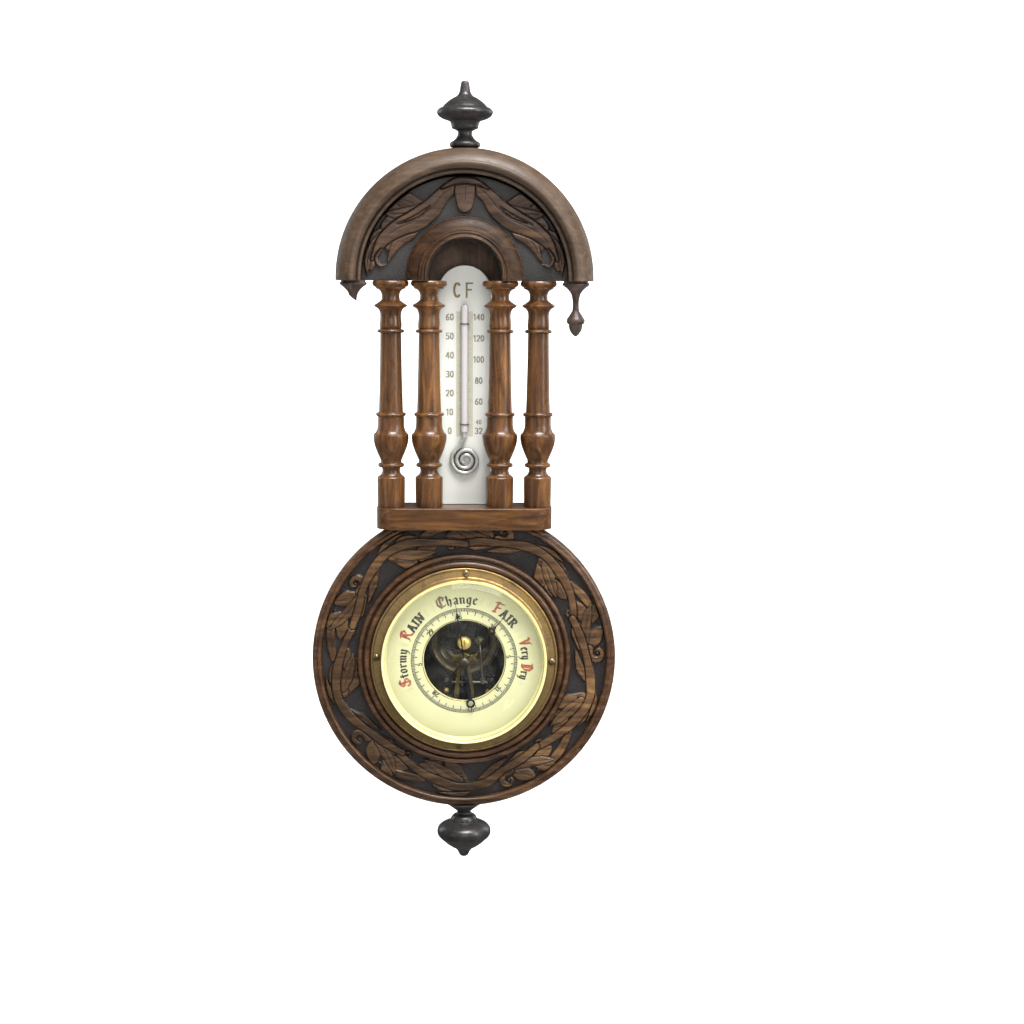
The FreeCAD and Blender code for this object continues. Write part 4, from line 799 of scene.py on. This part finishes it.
SMALL = {
    "n": ("5,90 15,80 15,18 25,8 / 17,74 38,92 / 43,90 53,80 53,18 63,8", 0.74),
    "m": ("5,90 15,80 15,18 25,8 / 17,74 36,92 / 41,90 51,80 51,18 61,8 / 53,74 72,92 / 77,90 87,80 "
          "87,18 97,8", 1.1),
    "r": ("5,90 15,80 15,18 25,8 / 20,74 38,94 48,82", 0.58),
    "t": ("18,122 18,18 30,6 / 2,86 40,86", 0.48),
    "o": ("15,80 15,20 34,4 53,20 53,80 34,96 15,80", 0.72),
    "e": ("15,80 15,20 34,4 52,16 / 15,80 34,96 50,78 18,48", 0.64),
    "a": ("12,80 32,96 50,82 50,16 60,6 / 50,54 16,40 16,18 30,5 50,20", 0.72),
    "g": ("15,80 15,22 32,6 52,22 / 15,80 34,96 58,88 / 52,90 52,-18 36,-38 10,-32", 0.72),
    "h": ("8,148 15,140 15,18 24,8 / 18,74 38,92 53,80 53,12 40,-16", 0.74),
    "y": ("6,90 15,80 15,22 32,6 / 44,92 53,80 53,2 40,-28 14,-40", 0.72),
    "A": ("12,6 34,96 / 36,98 64,6 / 20,36 54,36 / 2,4 22,4 / 52,4 76,4 / 26,98 44,98", 0.8),
    "I": ("19,96 19,4 / 6,96 32,96 / 6,4 32,4", 0.4),
    "N": ("16,6 16,94 / 16,96 64,6 / 66,6 66,94 / 4,4 28,4 / 2,96 20,96 / 54,96 80,96", 0.9),
    "R": ("17,96 17,4 / 5,96 46,96 58,76 46,54 16,52 / 36,52 64,6 76,6 / 5,4 30,4", 0.84),
}

CAPITALS = {
    "S": ("80,84 52,98 22,84 22,62 76,42 80,18 48,2 10,16 / 48,98 48,2 / 10,16 4,36", 0.92),
    "R": ("26,92 26,10 10,2 / 6,86 30,98 62,98 80,78 62,54 28,52 / 46,52 74,12 94,4 / 44,96 44,54", 1.0),
    "C": ("80,82 52,98 20,80 14,38 40,3 84,14 / 50,98 44,52 50,6 / 80,82 74,60", 0.92),
    "F": ("30,94 30,14 10,2 / 8,82 24,96 56,92 84,100 / 30,50 70,54 / 20,2 46,6", 0.92),
    "V": ("4,92 18,98 30,80 44,6 / 44,4 66,70 64,92 84,98", 0.92),
    "D": ("10,92 48,98 84,74 84,30 50,2 12,8 / 30,90 30,8 / 50,94 46,6", 0.96),
}


def strokes_of(drawn):
    lines = [[point.split(",") for point in line.split()] for line in drawn.split("/")]
    return [[(int(x) / 100, int(y) / 100) for x, y in line] for line in lines]


class Print:
    """Thin printed shapes on a CAD node's front, as one piece; drawn in millimetres about the dial's axis."""

    SUNK, PROUD, HAIR = 0.02, 0.018, 0.002

    def __init__(self, name, ink, node):
        self.name = name
        self.ink = ink
        self.back = front_of(node) - self.SUNK
        self.front = front_of(node) + self.PROUD
        self.vertices = []
        self.faces = []
        self.count = 0

    def polygon(self, points):
        """A closed sliver, a hair prouder or lower than its neighbours so that overlaps stay clean."""
        self.count += 1
        front = self.front + self.HAIR * (self.count % 6)
        start = len(self.vertices)
        n = len(points)
        self.vertices += [place(x, self.back, y) for x, y in points] + [place(x, front, y) for x, y in points]
        self.faces += [tuple(range(start + n - 1, start - 1, -1)), tuple(range(start + n, start + 2 * n))]
        for i in range(n):
            j = (i + 1) % n
            self.faces.append((start + i, start + j, start + n + j, start + n + i))

    def write(self, strokes, layout, size, nib, thin, stretch=1.0, angle=0):
        """Draws strokes with a flat nib held at an angle; layout maps millimetres to the face."""
        turn = radians(angle)
        c, s = cos(turn) / 2, sin(turn) / 2
        corners = [(n * c - t * s, n * s + t * c) for n in (nib, -nib) for t in (thin, -thin)]
        for line in strokes:
            for ends in zip(line, line[1:]):
                reached = [(x * stretch + u, y + v) for x, y in ends for u, v in corners]
                around = [reached[k] for k in convex_hull_2d(reached)]
                self.polygon([layout(x * size, y * size) for x, y in around])

    def figures(self, text, layout_from, size, nib, thin, gap, stretch=1.0):
        """Figures in a row; layout_from gives the layout at a distance from the row's middle."""
        steps = [FIGURES[c][1] * size * stretch + gap for c in text]
        at = (gap - sum(steps)) / 2
        for c, step in zip(text, steps):
            self.write(FIGURES[c][0], layout_from(at), size, nib, thin, stretch)
            at += step

    def ring(self, inner, outer):
        """A closed circular line about the dial's axis."""
        section = [(inner, self.back), (inner, self.front), (outer, self.front), (outer, self.back)]
        points, faces = lathe(section, 300)
        self.faces += (faces + len(self.vertices)).tolist()
        self.vertices += points.tolist()

    def tick(self, angle, inner, outer, width):
        """A radial line at an angle in degrees clockwise from the top."""
        a = radians(angle)
        c, s = cos(a), sin(a)
        half = width / 2
        ends = ((inner, -half), (inner, half), (outer, half), (outer, -half))
        self.polygon([(r * s + h * c, r * c - h * s) for r, h in ends])

    def bar(self, x0, x1, y0, y1):
        self.polygon([(x0, y0), (x1, y0), (x1, y1), (x0, y1)])

    def build(self):
        mesh = new_mesh(self.name, self.vertices, self.faces)
        edit(mesh, face_outward)
        finish_piece(self.name, mesh, self.ink)


def round_dial(radius, start):
    """Layout for words that follow the dial, starting at an angle in degrees clockwise from the top."""
    def layout(x, y):
        angle = radians(start) + x / radius
        return ((radius + y) * sin(angle), (radius + y) * cos(angle))
    return layout


def flat_at(x0, y0):
    return lambda x, y: (x0 + x, y0 + y)


WORDS_R = 40.4    # radius of the weather words' foot
INITIAL, BODY = 8.2, 4.8    # heights of the initials and of the other letters
LETTER_GAP = 0.45
NIB_ANGLE = 38
FLOURISH = 3.2    # degrees from a word to its flourishes
MIDDLE_INCH, MIDDLE_ANGLE, PER_INCH = 29.5, -5, 90    # a reading, its angle, and degrees per inch


def dial_word(word, middle, black, red, spread):
    """Writes a weather word round the dial, and returns the angles where its flourishes stand."""
    shapes = []
    for before, letter in zip(" " + word, word):
        if letter == " ":
            shapes.append((black, "", 0.3, BODY, 1.0))
        elif before == " ":
            shapes.append((red, *CAPITALS[letter], INITIAL, spread * 0.86))
        else:
            size = BODY * (1.25 if letter.isupper() else 1.0)
            shapes.append((black, *SMALL[letter], size, spread * 1.12))
    total = sum(width * size * stretch + LETTER_GAP for _, _, width, size, stretch in shapes) - LETTER_GAP
    start = middle - degrees(total / 2 / WORDS_R)
    at = 0.0
    for ink, drawn, width, size, stretch in shapes:
        nib, thin = (0.25, 0.09) if ink is black else (0.17, 0.07)
        layout = round_dial(WORDS_R, start + degrees(at / WORDS_R))
        ink.write(strokes_of(drawn), layout, size, nib, thin, stretch, NIB_ANGLE)
        at += width * size * stretch + LETTER_GAP
    return start - FLOURISH, start + degrees(total / WORDS_R) + FLOURISH


def dial_angle(reading):
    """Where a pressure in inches of mercury stands, in degrees clockwise from the top."""
    return MIDDLE_ANGLE + PER_INCH * (reading - MIDDLE_INCH)


def build_dial_print():
    """The scale in inches of mercury, its figures, and the weather words between faint flourishes."""
    inks = [Print("dial_print_" + c, "ink_" + c, "dial_face") for c in ("black", "red", "brown", "grey")]
    black, red, brown, grey = inks
    track_in, track_out = 35.6, 37.1
    long_tick, short_tick = (32.9, 35.5, 0.62), (34.5, 35.5, 0.26)    # inner and outer radius, and width
    black.ring(track_in - 0.25, track_in)
    black.ring(track_out, track_out + 0.35)
    grey.ring(track_in, track_out)
    for k in range(200):
        angle = dial_angle(28) + 1.8 * k
        black.tick(angle, *(long_tick if k % 5 == 0 else short_tick))
        black.tick(angle, track_in + 0.1, track_out, 0.4)
    for reading in (28, 29, 30, 31, 28.5, 29.5, 30.5):
        text, radius, size = ("5", 29.9, 2.8) if reading % 1 else (str(reading), 29.4, 3.3)

        def layout_from(at):
            return round_dial(radius, dial_angle(reading) + degrees(at / radius))

        black.figures(text, layout_from, size, 0.25, 0.13, 0.35)
    words = (("Stormy", -97, red, 0.9), ("RAIN", -56, red, 0.9), ("Change", -7, brown, 1.0),
             ("FAIR", 42, red, 0.9), ("Very Dry", 89, red, 0.74))
    for word, middle, ink, spread in words:
        for hand, angle in zip((-1, 1), dial_word(word, middle, black, ink, spread)):
            for height, reach in ((1.2, 1.5), (3.0, 2.1), (4.6, 1.4)):
                curl = [(hand * x * 0.5, y) for x, y in bow(0, height, reach, 0.9, 150, -160, 9)]
                grey.write([curl], round_dial(WORDS_R + 0.2, angle), 1.0, 0.16, 0.09, 1.0, 30)
    for ink in inks:
        ink.build()


def build_plate_print():
    """Two scales beside the tube on one rule from 0 to 60 C: Celsius left and Fahrenheit right."""
    olive = Print("plate_print", "ink_olive", "scale_plate")
    pale = Print("plate_bands", "ink_pale", "scale_plate")
    gold = Print("plate_letters", "ink_gold", "scale_plate")
    near, far, medium, short = 2.4, 5.6, 4.9, 4.2    # scale lines, from the middle of the plate
    left, right = -10.4, 9.9    # middles of the numbers
    zero, sixty = 160.5, 239.9    # heights of 0 and 60 degrees Celsius
    low, high = zero - 4, sixty + 4
    line, narrow = 0.07, 0.86

    def level(celsius):
        return zero + celsius * (sixty - zero) / 60

    def mark(hand, degree, height, step):
        reach = (short, medium, far)[(degree % step == 0) + (degree % (2 * step) == 0)]
        olive.bar(*sorted((hand * near, hand * reach)), height - line, height + line)

    def number(text, middle, height, size):
        foot = height - size / 2
        olive.figures(text, lambda at: flat_at(middle + at, foot), size, 0.19, 0.12, size * 0.1, narrow)

    pale.bar(-far, -near, low, high)
    pale.bar(near, far, low, high)
    for degree in range(-2, 63):
        mark(-1, degree, level(degree), 5)
    for degree in range(28, 145, 2):
        mark(1, degree, level((degree - 32) / 1.8), 10)
    for x in (-far, -near, near, far):
        olive.bar(x - 0.06, x + 0.06, low, high)
    for degree in range(0, 61, 10):
        number(str(degree), left, level(degree), 4.6)
    for degree in (32, 60, 80, 100, 120, 140):
        number(str(degree), right, level((degree - 32) / 1.8), 4.4)
    number("40", right, zero + 6.2, 3.2)
    for letter, x in (("C", -8.0), ("F", 0.5)):
        gold.write(FIGURES[letter][0], flat_at(x, 253.6), 10.0, 0.14, 0.12, narrow)
    for ink in (olive, pale, gold):
        ink.build()


# ---- pieces
def bending_copy(node, name, cuts=()):
    """A stand-in copy of a sprung CAD piece.

    Cuts are heights in millimetres that make the mesh finer.
    """
    def slice_finer(work):
        for height in cuts:
            slice_level(work, DIAL_Z + height * MM, dist=1e-7, plane_no=(0, 0, 1))

    mesh = NODES[node].data.copy()
    edit(mesh, slice_finer)
    piece = new_object(name, mesh)
    stand_in(piece, node)
    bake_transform(piece)


bending_copy("mainspring", "mainspring_leaf",
             cuts=[17.0 + 1.5 * k for k in range(20)])
bending_copy("capsule_upper", "capsule_diaphragm")
build_case()
build_tympanum()
build_dial_print()
build_plate_print()


# ---- stage, light, camera
REACH = 6.0    # how far the floor and the backdrop run
WALL = 2.2    # how far behind the object the backdrop stands
FLOOR = cad_box[0].z - 0.35

LIGHTS = {    # right, behind and above the dial's axis, in metres; width and height; power
    "overhead": ((0.3, -0.75, 1.8), (1.0, 0.6), 75),
    "left_box": ((-1.35, -1.1, 0.35), (0.45, 1.2), 2.5),
    "right_box": ((1.35, -0.9, 0.75), (0.45, 1.2), 19),
    "front": ((0.25, -2.3, 0.85), (1.0, 0.8), 11.5),
    "behind_left": ((-1.2, 0.9, 0.5), (0.5, 1.2), 5),
    "behind_right": ((1.2, 0.9, 0.5), (0.5, 1.2), 5),
}
LIGHTS_AIM = Vector((0, 0, DIAL_Z + 0.08))

CAMERA_LENS = 65.3
CAMERA_AT = (0.0, -1.312, DIAL_Z + 0.2675)
CAMERA_YAW, CAMERA_PITCH, CAMERA_ROLL = -1.48, -7.2, 0.27


def build_stage():
    """A paper floor and backdrop, dimmer where polished surfaces reflect them, and clear from behind."""
    s = Shader("backdrop_paper")
    tone = s.remap(s.noise(3, 3), 0.3, 0.7)
    paper = s.node("BsdfDiffuse", {"Color": s.mix(tone, (0.93, 0.93, 0.92), (0.95, 0.95, 0.94))})
    glow = s.node("Emission", {"Color": (1, 1, 1), "Strength": 0.3})
    bright = s.node("AddShader", {0: paper.outputs[0], 1: glow.outputs[0]})
    dim = s.node("Emission", {"Color": (0.9, 0.92, 0.95), "Strength": 0.16})
    lit = s.blend(s.node("LightPath").outputs["Is Glossy Ray"], bright, dim)
    s.surface(s.blend(s.node("NewGeometry").outputs["Backfacing"], lit, s.node("BsdfTransparent")))
    side = [(-REACH, FLOOR), (WALL, FLOOR), (WALL, REACH)]
    for name, (y0, z0), (y1, z1) in zip(("floor", "backdrop"), side, side[1:]):
        corners = [(-REACH, y0, z0), (REACH, y0, z0), (REACH, y1, z1), (-REACH, y1, z1)]
        mesh = new_mesh(name, corners, [(0, 1, 2, 3)])
        mesh.materials.append(MATERIALS["backdrop_paper"])
        new_object(name, mesh)


def build_world():
    """A bright tent for soft light, a darker room for polished surfaces to reflect, and a pale sky behind."""
    world = bpy.data.worlds.new("studio")
    bpy.context.scene.world = world
    s = Shader("studio", world)
    tent = s.node("Background", {0: (1, 1, 1), 1: 0.42})
    room = s.node("Background", {0: (0.95, 0.98, 1), 1: 0.16})
    sky = s.node("Background", {0: (1, 1, 1), 1: 0.93})
    rays = s.node("LightPath").outputs
    s.surface(s.blend(rays["Is Camera Ray"], s.blend(rays["Is Glossy Ray"], tent, room), sky))


def build_lights():
    for name, ((x, y, height), size, power) in LIGHTS.items():
        data = bpy.data.lights.new(name, "AREA")
        data.shape = "RECTANGLE"
        data.size, data.size_y = size
        data.energy = power
        lamp = new_object(name, data)
        lamp.location = (x, y, DIAL_Z + height)
        lamp.rotation_euler = (LIGHTS_AIM - lamp.location).to_track_quat("-Z", "Y").to_euler()


def build_camera():
    data = bpy.data.cameras.new("camera")
    data.lens = CAMERA_LENS
    data.sensor_width = 36.0
    data.clip_start, data.clip_end = 0.02, 50.0
    camera = new_object("camera", data)
    camera.location = CAMERA_AT
    yaw = Matrix.Rotation(radians(CAMERA_YAW), 3, "Z")
    pitch = Matrix.Rotation(radians(90 + CAMERA_PITCH), 3, "X")
    roll = Matrix.Rotation(radians(CAMERA_ROLL), 3, "Z")
    camera.rotation_mode = "QUATERNION"
    camera.rotation_quaternion = (yaw @ pitch @ roll).to_quaternion()
    bpy.context.scene.camera = camera


build_stage()
build_world()
build_lights()
build_camera()
bpy.context.scene.view_settings.view_transform = "Standard"
